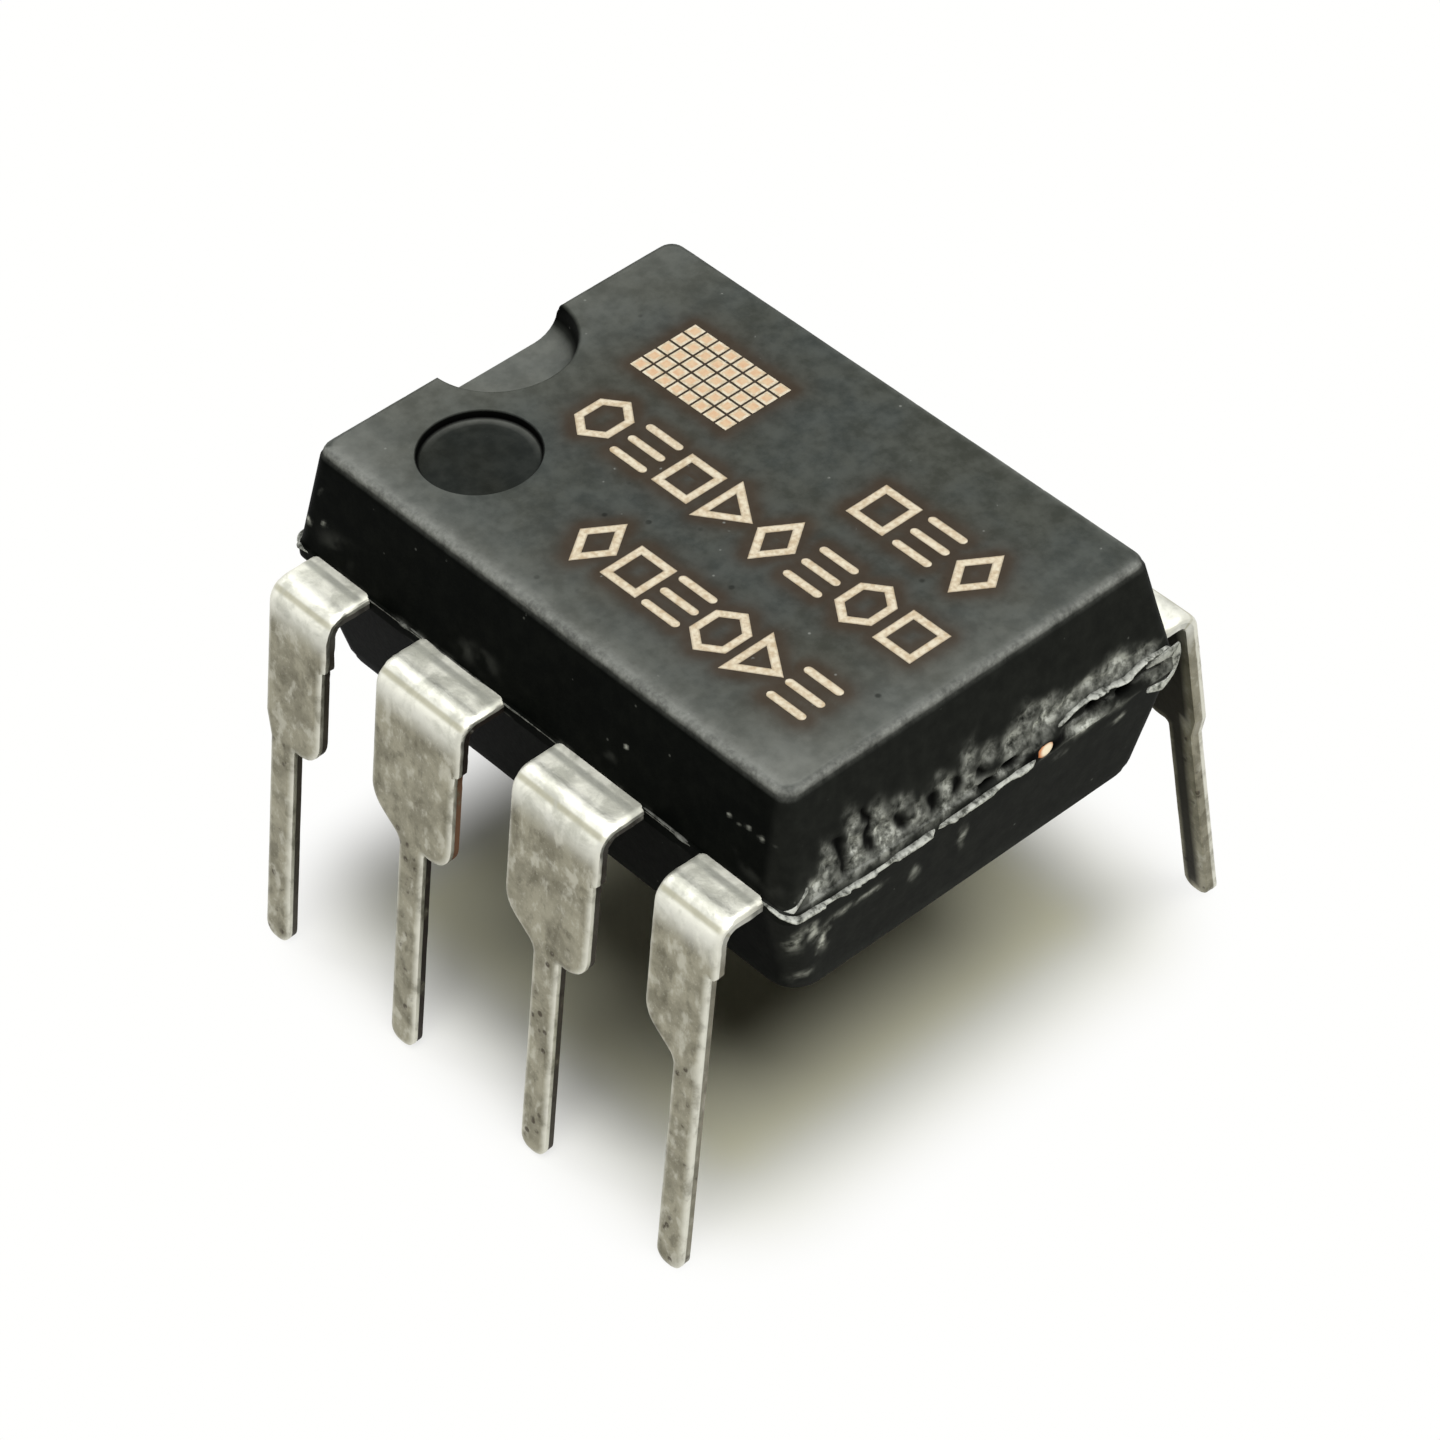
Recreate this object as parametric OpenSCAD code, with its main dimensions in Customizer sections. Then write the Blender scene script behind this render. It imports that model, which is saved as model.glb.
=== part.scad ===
// Eight-lead dual in-line package: a moulded epoxy body around a stamped copper lead frame,
// a silicon die and its gold bond wires. It stands on its eight lead tips.
// X runs along the body with the orientation notch at -X, lead 1 is at -X -Y, and Z is up.

/* [Body] */
// Length of the body at the parting plane
body_len = 9.05; // [8.95:0.05:10]
// Width of the body at the parting plane
body_w = 6.4; // [6.2:0.05:6.7]
// Height of the upper half above the parting plane
upper_h = 1.65; // [1.4:0.05:2]
// Depth of the lower half below the parting plane
lower_h = 1.78; // [1.4:0.05:1.9]
// Draft angle of the side walls, in degrees
draft = 10; // [6:1:12]
// Radius of the upright corners, from the parting plane up
corner_r = 0.2; // [0.15:0.01:0.3]
// Radius of the upright corners at the bottom face
low_corner_r = 0.4; // [0.25:0.01:0.5]
// Radius along the top and bottom edges
edge_r = 0.1; // [0.05:0.01:0.15]
// How far the band at the parting plane stands out from the walls
band_out = 0.03; // [0.02:0.01:0.06]
// Average reach of the ragged flash lip beyond the band, at the two ends of the body
flash_out = 0.05; // [0.03:0.01:0.08]
// Average reach of the flash lip between the leads
side_flash = 0.02; // [0.01:0.01:0.04]
// Thickness of the flash lip
flash_t = 0.05; // [0.03:0.01:0.08]

/* [Notch and marks] */
// Radius of the half-round notch where it meets the top face
notch_r = 1.02; // [0.7:0.02:1.2]
// Depth of the notch
notch_depth = 0.5; // [0.3:0.05:0.8]
// Diameter of the round recess beside lead 1
dot_d = 1.58; // [1:0.02:1.8]
// Depth of the round recess
dot_depth = 0.12; // [0.05:0.01:0.25]
// Distance of the recess centre from the notch end of the top face
dot_from_end = 1.5; // [1.3:0.05:1.8]
// Distance of the recess centre from the lead 1 side of the top face
dot_from_side = 1.36; // [1.1:0.05:1.6]
// Diameter of the two ejector marks on the underside
ejector_d = 1.2; // [0.8:0.1:1.6]
// Depth of the ejector marks
ejector_depth = 0.05; // [0.03:0.01:0.1]
// Distance between the two ejector marks
ejector_gap = 4.8; // [4:0.1:5.6]

/* [Leads] */
// Distance from one lead to the next
pitch = 2.54; // [2.5:0.01:2.58]
// Width over the outer faces of both rows at their bends
row_w = 7.96; // [7.8:0.02:8.3]
// Height of the parting plane above the surface under the lead tips
stand_h = 5.47; // [4.8:0.01:6]
// Thickness of the lead frame
frame_t = 0.2; // [0.18:0.01:0.26]
// Radius inside the bend of a lead
bend_r = 0.15; // [0.1:0.01:0.2]
// Outward splay of the legs, in degrees
splay = 8; // [0:0.5:12]
// Width of a shoulder
shoulder_w = 1.58; // [1.3:0.02:1.7]
// Depth of a shoulder below the parting plane, down to the leg
shoulder_h = 2.25; // [2.1:0.05:2.6]
// Reach of a corner shoulder from its lead's centre, on the body's inner side
corner_in = 0.78; // [0.6:0.02:0.8]
// Reach of a corner shoulder from its lead's centre, on the body's outer side
corner_out = 0.33; // [0.28:0.01:0.4]
// Width of a leg
leg_w = 0.45; // [0.4:0.01:0.5]
// Height of the sloped flank between a shoulder and its leg
flank_h = 0.36; // [0.25:0.01:0.5]
// Radius where the straight side turns into the flank
flank_r = 0.44; // [0.1:0.02:0.5]
// Radius where the flank runs out into the leg
foot_r = 0.2; // [0.04:0.02:0.3]
// Radius of the shoulder's round lower corner
lobe_r = 0.36; // [0.2:0.01:0.4]
// Radius of the corners at a lead's tip
tip_r = 0.19; // [0.1:0.01:0.2]
// Depth below the parting plane at which the trimmed tie between leads ends
trim_h = 0.72; // [0.6:0.02:1]
// How far the trimmed side steps in below that
trim_step = 0.07; // [0.03:0.01:0.1]

/* [Lead frame in the body] */
// Length of the die pad
pad_len = 3.1; // [2.7:0.1:3.2]
// Width of the die pad
pad_w = 2.3; // [2.1:0.1:2.4]
// How far the die pad lies below the leads
downset = 0.2; // [0.1:0.05:0.4]
// Width of the two tie bars that carry the die pad
tie_w = 0.28; // [0.25:0.01:0.4]
// Distance of each tie bar from the body's middle line
tie_y = 0.95; // [0.85:0.05:1]
// Gap between a finger and what lies beside it
finger_gap = 0.28; // [0.2:0.01:0.32]
// Width of a finger at its tip
finger_w = 0.5; // [0.4:0.02:0.6]
// How far inside the wall the middle leads start to narrow
neck_in = 0.75; // [0.7:0.05:1]
// How far a middle finger's tip leans towards the middle of the body
tip_lean = 0.27; // [0:0.03:0.3]
// Distance of the two long fingers' tips from the body's long middle line
long_tip_y = 0.35; // [0.25:0.05:0.4]
// Diameter of the locking hole in each of the middle leads
lock_d = 0.4; // [0.3:0.05:0.5]

/* [Die and bond wires] */
// Length of the silicon die
die_len = 1.7; // [1.3:0.1:2.2]
// Width of the silicon die
die_w = 1.3; // [1:0.1:1.6]
// Thickness of the silicon die
die_t = 0.28; // [0.2:0.02:0.36]
// Thickness of the adhesive under the die
attach_t = 0.03; // [0.02:0.01:0.05]
// How far the adhesive squeezes out round the die
attach_out = 0.08; // [0.04:0.01:0.12]
// Diameter of a bond wire
wire_d = 0.033; // [0.025:0.001:0.038]
// Diameter of the ball bond on the die
ball_d = 0.09; // [0.07:0.01:0.11]
// Height of the wire loops above the die
loop_h = 0.3; // [0.2:0.02:0.4]

/* [Hidden] */
$fn = 48;

per_side = 4;
half_t = frame_t / 2;
tiny = 0.01;

// walls of the body
top_inset = (upper_h - half_t) * tan(draft);
bottom_inset = (lower_h - half_t) * tan(draft);
corner_steps = 5;
edge_steps = 3;
bend_steps = 10;
flash_step = 0.35;
inner_r = 0.04;

// bend of a lead, measured from the parting plane
bend_angle = 90 - splay;
mid_r = bend_r + half_t;
outer_r = bend_r + frame_t;
bend_y = row_w / 2 - outer_r;
leg_start_z = -mid_r + mid_r * cos(bend_angle);
leg_start_y = bend_y + mid_r * sin(bend_angle);
leg_len = (stand_h + leg_start_z - half_t * sin(splay)) / cos(splay);

// fingers, as distances from the middle of the body
pad_x = pad_len / 2;
pad_y = pad_w / 2;
middle_tip_y = pad_y + finger_gap;
short_tip_y = tie_y + tie_w / 2 + finger_gap;
corner_tip_x = pad_x + finger_gap;
wall_y = body_w / 2;
neck_y = wall_y - neck_in;
corner_slant = 0.4;
bar_foot = 0.15;

// levels of the stack on the die pad, measured from the parting plane
pad_top = half_t - downset;
die_bottom = pad_top + attach_t;
die_top = die_bottom + die_t;

// bond wires
bond_inset = 0.13;
wire_sides = 6;
arc_steps = 8;
ball_h = 0.03;
stitch_len = 0.08;
stitch_back = 0.2;

function lead_x(k) = ((k - 1) % per_side - (per_side - 1) / 2) * pitch;

// Reaches of a lead's shoulder from its centre line: towards the notch end, then away from it
function reach_left(k) = k == 1 ? corner_out : k == per_side ? corner_in : shoulder_w / 2;
function reach_right(k) = k == 1 ? corner_in : k == per_side ? corner_out : shoulder_w / 2;

// Outline of a rectangle with round corners
function round_rect(l, w, r) = [
    for (c = [0:3], i = [0:corner_steps])
        let (
            a = 90 * (c + i / corner_steps),
            sx = c == 0 || c == 3 ? 1 : -1,
            sy = c < 2 ? 1 : -1
        )
        [sx * (l / 2 - r) + r * cos(a), sy * (w / 2 - r) + r * sin(a)]
];

// Skin through a stack of outlines of equal length, closed at both ends
module skin(rings) {
    n = len(rings[0]);
    m = len(rings);
    points = [for (ring = rings) each ring];
    sides = [
        for (j = [0:m - 2], i = [0:n - 1])
            let (a = j * n + i, b = j * n + (i + 1) % n)
            each [[a, a + n, b + n], [a, b + n, b]]
    ];
    start = [[for (i = [0:n - 1]) i]];
    end = [[for (i = [n - 1:-1:0]) (m - 1) * n + i]];
    polyhedron(points, concat(start, sides, end), convexity = 4);
}

// One level of the body: its height, and how far its outline lies inside the parting outline
function level(z, inset, r = corner_r) = [
    for (p = round_rect(body_len - 2 * inset, body_w - 2 * inset, r))
        [p.x, p.y, z]
];

module body_block() {
    edge = [for (i = [0:edge_steps]) 90 * i / edge_steps];
    skin(concat(
        [for (a = edge)
            level(-lower_h + edge_r * (1 - cos(a)), bottom_inset + edge_r * (1 - sin(a)), low_corner_r)],
        [
            level(-half_t, 0),
            level(-half_t + tiny, -band_out),
            level(half_t - tiny, -band_out),
            level(half_t, 0)
        ],
        [for (a = edge)
            level(upper_h - edge_r * (1 - sin(a)), top_inset + edge_r * (1 - cos(a)))]
    ));
}

// Uneven share of the flash's average reach, at a place along the parting line
function ragged(s) =
    max(0.2, 1 + 0.4 * sin(137 * s) + 0.25 * sin(61 * s + 40) + 0.2 * sin(311 * s + 15));

// Thin lip of resin that crept between the two mould halves, along the top of the band
module flash_lip() {
    outline = round_rect(body_len + 2 * band_out, body_w + 2 * band_out, corner_r + band_out);
    n = len(outline);
    points = [
        for (i = [0:n - 1])
            let (
                a = outline[i],
                b = outline[(i + 1) % n],
                d = norm(b - a),
                steps = max(1, round(d / flash_step)),
                out = [(b - a).y, -(b - a).x] / d,
                reach = abs(out.x) > 0.5 ? flash_out : side_flash
            )
            for (j = [0:steps - 1])
                a + (b - a) * j / steps + out * reach * ragged(i + 7.3 * j)
    ];
    translate([0, 0, half_t - flash_t])
        linear_extrude(flash_t) polygon(points);
}

module notch() {
    translate([-body_len / 2 + top_inset, 0, upper_h - notch_depth])
        cylinder(r1 = notch_r - notch_depth * tan(draft), r2 = notch_r, h = notch_depth);
    translate([-body_len / 2 + top_inset, 0, upper_h - tiny])
        cylinder(r = notch_r, h = 1);
}

module pin_one_dot() {
    translate([
        -body_len / 2 + top_inset + dot_from_end,
        -body_w / 2 + top_inset + dot_from_side,
        upper_h - dot_depth
    ])
        cylinder(d = dot_d, h = dot_depth + 1);
}

module ejector_marks() {
    for (side = [-1, 1])
        translate([side * ejector_gap / 2, 0, -lower_h - 1])
            cylinder(d = ejector_d, h = ejector_depth + 1);
}

// Plan of a middle lead's finger, with the lead's centre line at x = 0
module middle_finger(k) {
    aim = -sign(lead_x(k)) * tip_lean;
    difference() {
        polygon([
            [-reach_left(k), -bend_y],
            [reach_right(k), -bend_y],
            [reach_right(k), -neck_y],
            [aim + finger_w / 2, -middle_tip_y],
            [aim - finger_w / 2, -middle_tip_y],
            [-reach_left(k), -neck_y]
        ]);
        translate([0, -(wall_y + neck_y) / 2]) circle(d = lock_d);
    }
}

// Plan of a corner lead's finger, which ends beside the pad at tip_y from the long middle line
module corner_finger(k, tip_y) {
    side = -sign(lead_x(k));
    tip_x = side * (abs(lead_x(k)) - corner_tip_x);
    polygon([
        [-side * corner_out, -bend_y],
        [side * corner_in, -bend_y],
        [side * corner_in, -neck_y - corner_slant / 2],
        [tip_x, -tip_y - finger_w],
        [tip_x, -tip_y],
        [tip_x - side * finger_w, -tip_y],
        [-side * corner_out, -neck_y + corner_slant]
    ]);
}

module finger_cut(k) {
    linear_extrude(2 * frame_t, center = true)
        if (k == 1) corner_finger(k, short_tip_y);
        else if (k == per_side) corner_finger(k, long_tip_y);
        else middle_finger(k);
}

// A place on the bend, at a radius from its centre and an angle from the finger
function on_bend(r, a) = [-bend_y - r * sin(a), -mid_r + r * cos(a)];

// Strip of the lead frame bent to its side view, wide enough for any lead
module bent_strip() {
    down = 1.1 * leg_len * [-cos(bend_angle), -sin(bend_angle)];
    turns = [for (i = [0:bend_steps]) bend_angle * i / bend_steps];
    back = [for (i = [bend_steps:-1:0]) turns[i]];
    rotate([90, 0, 90])
        linear_extrude(body_len, center = true)
            polygon(concat(
                [[0, -half_t], [0, half_t]],
                [for (a = turns) on_bend(outer_r, a)],
                [on_bend(outer_r, bend_angle) + down, on_bend(bend_r, bend_angle) + down],
                [for (a = back) on_bend(bend_r, a)]
            ));
}

// A corner of an outline as an arc: p is the corner, with its radius as third value,
// and a and b are its neighbours
function arc_corner(a, p, b) =
    let (
        here = [p.x, p.y],
        back = ([a.x, a.y] - here) / norm([a.x, a.y] - here),
        on = ([b.x, b.y] - here) / norm([b.x, b.y] - here),
        half = acos(back * on) / 2,
        centre = here + (back + on) / norm(back + on) * p[2] / sin(half),
        first = here + back * p[2] / tan(half) - centre,
        turn = -sign(cross(back, on)) * (180 - 2 * half)
    )
    [for (i = [0:corner_steps])
        let (c = cos(turn * i / corner_steps), s = sin(turn * i / corner_steps))
        centre + [first.x * c - first.y * s, first.x * s + first.y * c]];

function rounded(outline) = [
    for (i = [0:len(outline) - 1])
        let (n = len(outline), p = outline[i])
        each p[2] == 0 ? [[p.x, p.y]] : arc_corner(outline[(i + n - 1) % n], p, outline[(i + 1) % n])
];

// Front view of the part of a lead below its bend. Y is the distance down the leg.
// One side of the shoulder slopes into the leg, and the other ends in a round lobe
// below the step that the trimmed tie left.
module leg_outline(k) {
    half_leg = leg_w / 2;
    left = reach_left(k);
    right = reach_right(k);
    trim = (trim_h + leg_start_z) / cos(splay);
    foot = (shoulder_h + leg_start_z) / cos(splay);
    tip = min(tip_r, 0.95 * half_leg);
    lobe = [
        [half_leg, -foot, inner_r],
        [right - trim_step, -foot, lobe_r],
        [right - trim_step, -trim, 0]
    ];
    polygon(rounded(concat(
        [
            [-left, 2 * outer_r, 0],
            [-left, -foot + flank_h, k == 1 ? inner_r : flank_r],
            [-half_leg, -foot, k == 1 ? inner_r : foot_r],
            [-half_leg, -leg_len, tip],
            [half_leg, -leg_len, tip]
        ],
        k == per_side ? [[half_leg, -trim, 0]] : lobe,
        [[right, -trim, inner_r], [right, 2 * outer_r, 0]]
    )));
}

module leg_cut(k) {
    translate([0, -leg_start_y, leg_start_z])
        rotate([90 - splay, 0, 0])
            linear_extrude(2 * outer_r, center = true) leg_outline(k);
}

// Leads 1 to 4 stand along -Y, and 5 to 8 are the same four turned half round
module turned(k) {
    rotate([0, 0, k > per_side ? 180 : 0])
        children();
}

// A lead is the bent strip, cut to the finger's plan inside the body and to the leg's front view
module lead(k) {
    j = (k - 1) % per_side + 1;
    turned(k)
        translate([lead_x(j), 0, 0])
            intersection() {
                bent_strip();
                union() {
                    finger_cut(j);
                    leg_cut(j);
                }
            }
}

// Side view of a tie bar, which comes up from the pad to the parting plane
module tie_bar() {
    end_x = body_len / 2 + band_out;
    ramp_x = pad_x + bar_foot;
    top_x = ramp_x + downset;
    rotate([90, 0, 0])
        linear_extrude(tie_w, center = true)
            polygon([
                [pad_x - bar_foot, -half_t - downset],
                [ramp_x, -half_t - downset],
                [top_x, -half_t],
                [end_x, -half_t],
                [end_x, half_t],
                [top_x, half_t],
                [ramp_x, half_t - downset],
                [pad_x - bar_foot, half_t - downset]
            ]);
}

module pad() {
    translate([-pad_x, -pad_y, pad_top - frame_t])
        cube([pad_len, pad_w, frame_t]);
    for (turn = [0, 180])
        rotate([0, 0, turn])
            translate([0, tie_y, 0]) tie_bar();
}

module attach() {
    l = die_len + 2 * attach_out;
    w = die_w + 2 * attach_out;
    translate([-l / 2, -w / 2, pad_top])
        cube([l, w, attach_t]);
}

module die() {
    translate([-die_len / 2, -die_w / 2, die_bottom])
        cube([die_len, die_w, die_t]);
}

// Where the wires of leads 1 to 4 start on the die, and where they end on the fingers
function bond_point(k) =
    let (x = die_len / 2 - bond_inset, y = die_w / 2 - bond_inset)
    k == 1 ? [-x, -y] : k == 2 ? [-x / 2, -y] : k == 3 ? [x / 2, -y] : [x, -y / 3];

function stitch_point(k) =
    k == 1 ? [-corner_tip_x - stitch_back, -short_tip_y - stitch_back]
    : k == per_side ? [corner_tip_x + stitch_back, -long_tip_y - stitch_back]
    : [lead_x(k) - sign(lead_x(k)) * tip_lean, -middle_tip_y - stitch_back];

function bezier(p, s) =
    pow(1 - s, 3) * p[0] + 3 * s * pow(1 - s, 2) * p[1] + 3 * s * s * (1 - s) * p[2] + pow(s, 3) * p[3];

// A wire's stations in its own upright plane: distance out, height, slope and radius
function wire_stations(reach) =
    let (
        r = wire_d / 2,
        low = half_t + r * cos(180 / wire_sides),
        neck = die_top + 1.6 * ball_h,
        run = [[0, neck], [0, neck + 1.7 * loop_h], [0.7 * reach, low], [reach, low]],
        points = [for (i = [1:arc_steps]) bezier(run, i / arc_steps)]
    )
    concat(
        [[0, die_top, 90, ball_d / 2], [0, die_top + ball_h, 90, ball_d / 2], [0, neck, 90, r]],
        [for (i = [0:arc_steps - 1])
            let (
                a = i == 0 ? [0, neck] : points[i - 1],
                b = points[min(i + 1, arc_steps - 1)],
                last = i == arc_steps - 1
            )
            [points[i].x, points[i].y, last ? 0 : atan2(b.y - a.y, b.x - a.x), r]],
        [[reach + stitch_len, low, 0, r]]
    );

module wire(k) {
    j = (k - 1) % per_side + 1;
    start = bond_point(j);
    run = stitch_point(j) - start;
    rings = [
        for (s = wire_stations(norm(run)))
            [for (i = [0:wire_sides - 1])
                let (
                    a = 360 * (i + 0.5) / wire_sides,
                    u = s[3] * cos(a),
                    v = s[3] * sin(a)
                )
                [s[0] - u * sin(s[2]), v, s[1] + u * cos(s[2])]]
    ];
    turned(k)
        translate([start.x, start.y, 0])
            rotate([0, 0, atan2(run.y, run.x)])
                skin(rings);
}

module inner_pieces() {
    for (k = [1:2 * per_side]) {
        lead(k);
        wire(k);
    }
    pad();
    attach();
    die();
}

module epoxy() {
    difference() {
        union() {
            body_block();
            flash_lip();
        }
        notch();
        pin_one_dot();
        ejector_marks();
        inner_pieces();
    }
}

translate([0, 0, stand_h]) {
    color("#2a2c2b") epoxy();  // epoxy_body
    color("#a9a79d") lead(1);  // lead_1
    color("#a9a79d") lead(2);  // lead_2
    color("#a9a79d") lead(3);  // lead_3
    color("#a9a79d") lead(4);  // lead_4
    color("#a9a79d") lead(5);  // lead_5
    color("#a9a79d") lead(6);  // lead_6
    color("#a9a79d") lead(7);  // lead_7
    color("#a9a79d") lead(8);  // lead_8
    color("#b87c4c") pad();  // die_pad
    color("#8d8f93") attach();  // die_attach
    color("#4d5566") die();  // silicon_die
    color("#d9b24a") wire(1);  // bond_wire_1
    color("#d9b24a") wire(2);  // bond_wire_2
    color("#d9b24a") wire(3);  // bond_wire_3
    color("#d9b24a") wire(4);  // bond_wire_4
    color("#d9b24a") wire(5);  // bond_wire_5
    color("#d9b24a") wire(6);  // bond_wire_6
    color("#d9b24a") wire(7);  // bond_wire_7
    color("#d9b24a") wire(8);  // bond_wire_8
}
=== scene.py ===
"""Dresses an eight-lead dual in-line package: its moulded epoxy body, mould flash, printed marks and
tinned leads, the copper, silicon and gold inside it, and the stage it stands on. Everything is in metres,
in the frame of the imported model, unless a name or a comment says millimetres."""
import itertools
import math

import bmesh
import bpy
import numpy as np
from bpy.props import FloatProperty, FloatVectorProperty, PointerProperty
from mathutils import Matrix, Vector


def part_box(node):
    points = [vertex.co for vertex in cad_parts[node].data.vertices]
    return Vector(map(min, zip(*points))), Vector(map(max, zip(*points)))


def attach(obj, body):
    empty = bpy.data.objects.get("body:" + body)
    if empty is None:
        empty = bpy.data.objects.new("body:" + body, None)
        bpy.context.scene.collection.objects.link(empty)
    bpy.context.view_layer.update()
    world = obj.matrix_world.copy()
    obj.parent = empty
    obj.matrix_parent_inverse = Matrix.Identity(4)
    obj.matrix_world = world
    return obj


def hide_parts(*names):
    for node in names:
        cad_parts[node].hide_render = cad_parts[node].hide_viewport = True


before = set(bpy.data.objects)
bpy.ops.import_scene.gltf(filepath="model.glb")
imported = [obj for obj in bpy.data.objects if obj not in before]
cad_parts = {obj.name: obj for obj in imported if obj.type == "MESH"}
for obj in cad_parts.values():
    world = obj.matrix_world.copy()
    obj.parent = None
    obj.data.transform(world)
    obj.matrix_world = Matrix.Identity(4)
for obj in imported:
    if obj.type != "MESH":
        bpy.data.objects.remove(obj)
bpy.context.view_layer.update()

bl_info = {
    "name": "Dual In-Line Package Look",
    "version": (1, 0, 0),
    "blender": (4, 5, 0),
    "location": "3D View > Sidebar > Chip",
    "description": "Builds the looks of an eight-lead dual in-line package around its CAD frame",
    "category": "Object",
}

MM = 0.001
BODY = "root"
LEADS_PER_SIDE = 4
# White of the background as the camera sees it
WHITE = (1, 1, 0.99)
# Thickness of the lead frame's sheet, half of it, and thickness of the printed marks
FRAME_T = 0.2 * MM
HALF_T = FRAME_T / 2
MARK_T = 0.006 * MM
# Heights of the top face, the underside and the parting plane, which is in the middle of the sheet
TOP_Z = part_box("epoxy_body")[1].z - MARK_T
BOTTOM_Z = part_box("epoxy_body")[0].z
PARTING_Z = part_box("lead_1")[1].z - HALF_T
# How far the body reaches above and below the parting plane
UPPER_H = TOP_Z - PARTING_Z
LOWER_H = PARTING_Z - BOTTOM_Z


# Colours and lengths

def paint(red, green, blue):
    """A colour picked on a screen, 0 to 255 a channel, as the linear colour that shaders take."""
    channels = [c / 255 for c in (red, green, blue)]
    return tuple(c / 12.92 if c <= 0.04045 else ((c + 0.055) / 1.055) ** 2.4 for c in channels)


def length(name, description, millimetres):
    return FloatProperty(
        name=name, description=description, default=millimetres * MM, unit="LENGTH", precision=5)


def colour(name, description, red, green, blue):
    return FloatVectorProperty(
        name=name, description=description, default=paint(red, green, blue),
        subtype="COLOR", size=3, min=0, max=1)


def angle(name, description, degrees):
    return FloatProperty(
        name=name, description=description, default=math.radians(degrees),
        subtype="ANGLE", unit="ROTATION")


class ChipBodyLook(bpy.types.PropertyGroup):
    """Sizes and colours of the moulded body"""

    body_l: length("Length", "Length of the body at the parting plane", 9.05)
    body_w: length("Width", "Width of the body at the parting plane", 6.4)
    draft: angle("Draft", "Draft angle of the side walls", 10)
    corner_r: length("Corner radius", "Radius of the upright corners", 0.2)
    low_corner_r: length("Lower corner radius", "Radius of the upright corners at the bottom", 0.4)
    edge_r: length("Edge radius", "Radius along the top and bottom edges", 0.1)
    band_out: length("Band", "How far the parting band stands out from the walls", 0.03)
    notch_r: length("Notch radius", "Radius of the notch at the top face", 1.02)
    notch_depth: length("Notch depth", "Depth of the notch", 0.5)
    notch_fillet: length("Notch fillet", "Radius between the notch's wall and its floor", 0.33)
    dot_d: length("Dot diameter", "Diameter of the recess beside lead 1", 1.58)
    dot_depth: length("Dot depth", "Depth of the recess beside lead 1", 0.12)
    dot_from_end: length("Dot from end", "Distance of the recess from the notch end of the top", 1.5)
    dot_from_side: length("Dot from side", "Distance of the recess from the long edge of the top", 1.36)
    top_colour: colour("Top", "Matt top face", 75, 79, 75)
    wall_colour: colour("Walls", "Near-black side walls", 8, 10, 8)
    # Pale colour of fine dust on the resin, which also paints a sheen of light on the top face and on the
    # floors of the notch and the recess
    dust_and_sheen_colour: colour("Film", "Fine pale dust rubbed into the resin", 140, 142, 136)
    # Pale colour of the worn top edges, which also paints the highlight that the light puts on their
    # round
    wear_and_highlight_colour: colour("Worn edge", "Bruised resin along the top edges", 150, 152, 147)
    scar_colour: colour("Broken resin", "Fresh broken resin at the parting line", 174, 176, 168)


class ChipMarkLook(bpy.types.PropertyGroup):
    """Sizes and colours of the printed marks"""

    stroke_w: length("Stroke", "Width of a stroke", 0.115)
    symbol_w: length("Symbol width", "Width of a symbol", 0.52)
    symbol_h: length("Symbol height", "Height of a symbol", 0.74)
    halo: length("Halo", "Reach of the singed resin round the strokes", 0.15)
    ink: colour("Ink", "Cream of the strokes", 240, 229, 205)
    fill: colour("Fill", "Warmer cream of the filled block", 233, 205, 168)
    singe: colour("Singe", "Browned resin beside the strokes", 72, 58, 46)


class ChipLeadLook(bpy.types.PropertyGroup):
    """Sizes and colours of the leads"""

    pitch: length("Pitch", "Distance from one lead to the next", 2.54)
    row_w: length("Row width", "Width over the bends of both rows", 7.96)
    bend_r: length("Bend radius", "Radius inside the bend", 0.15)
    splay: angle("Splay", "Outward splay of the legs", 8)
    shoulder_w: length("Shoulder width", "Width of a middle shoulder", 1.58)
    shoulder_h: length("Shoulder height", "Depth of the shoulder below the parting plane", 2.25)
    corner_in: length("Corner inner reach", "Reach of a corner shoulder on its inner side", 0.78)
    corner_out: length("Corner outer reach", "Reach of a corner shoulder on its outer side", 0.33)
    leg_w: length("Leg width", "Width of a leg", 0.45)
    flank_h: length("Flank", "Height of the sloped flank", 0.36)
    flank_r: length("Flank radius", "Radius where the straight side turns into the flank", 0.44)
    foot_r: length("Foot radius", "Radius where the flank runs out into the leg", 0.2)
    trim_h: length("Trim", "Depth at which the trimmed tie ends", 0.72)
    trim_step: length("Trim step", "How far the side steps in below the trimmed tie", 0.07)
    roll: length("Edge roll", "Roundness that stamping left on the outer edges", 0.08)
    tin: colour("Tin", "Dull tin plating", 156, 152, 133)
    dull: colour("Dull patches", "Darker worn patches in the tin", 88, 84, 66)
    pale: colour("Pale patches", "Paler patches in the tin", 212, 210, 196)
    # Pale colour of the sheared zone of the stamped edges, which also paints a highlight on the rolled
    # edges and on the burr
    sheared_and_highlight: colour("Sheared edge", "Bright zone that the punch wiped smooth", 226, 225, 212)
    cut: colour("Cut edge", "Dark broken zone of the stamped edges", 40, 32, 25)
    bare: colour("Bare copper", "Copper where the plating tore", 126, 92, 68)


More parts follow.
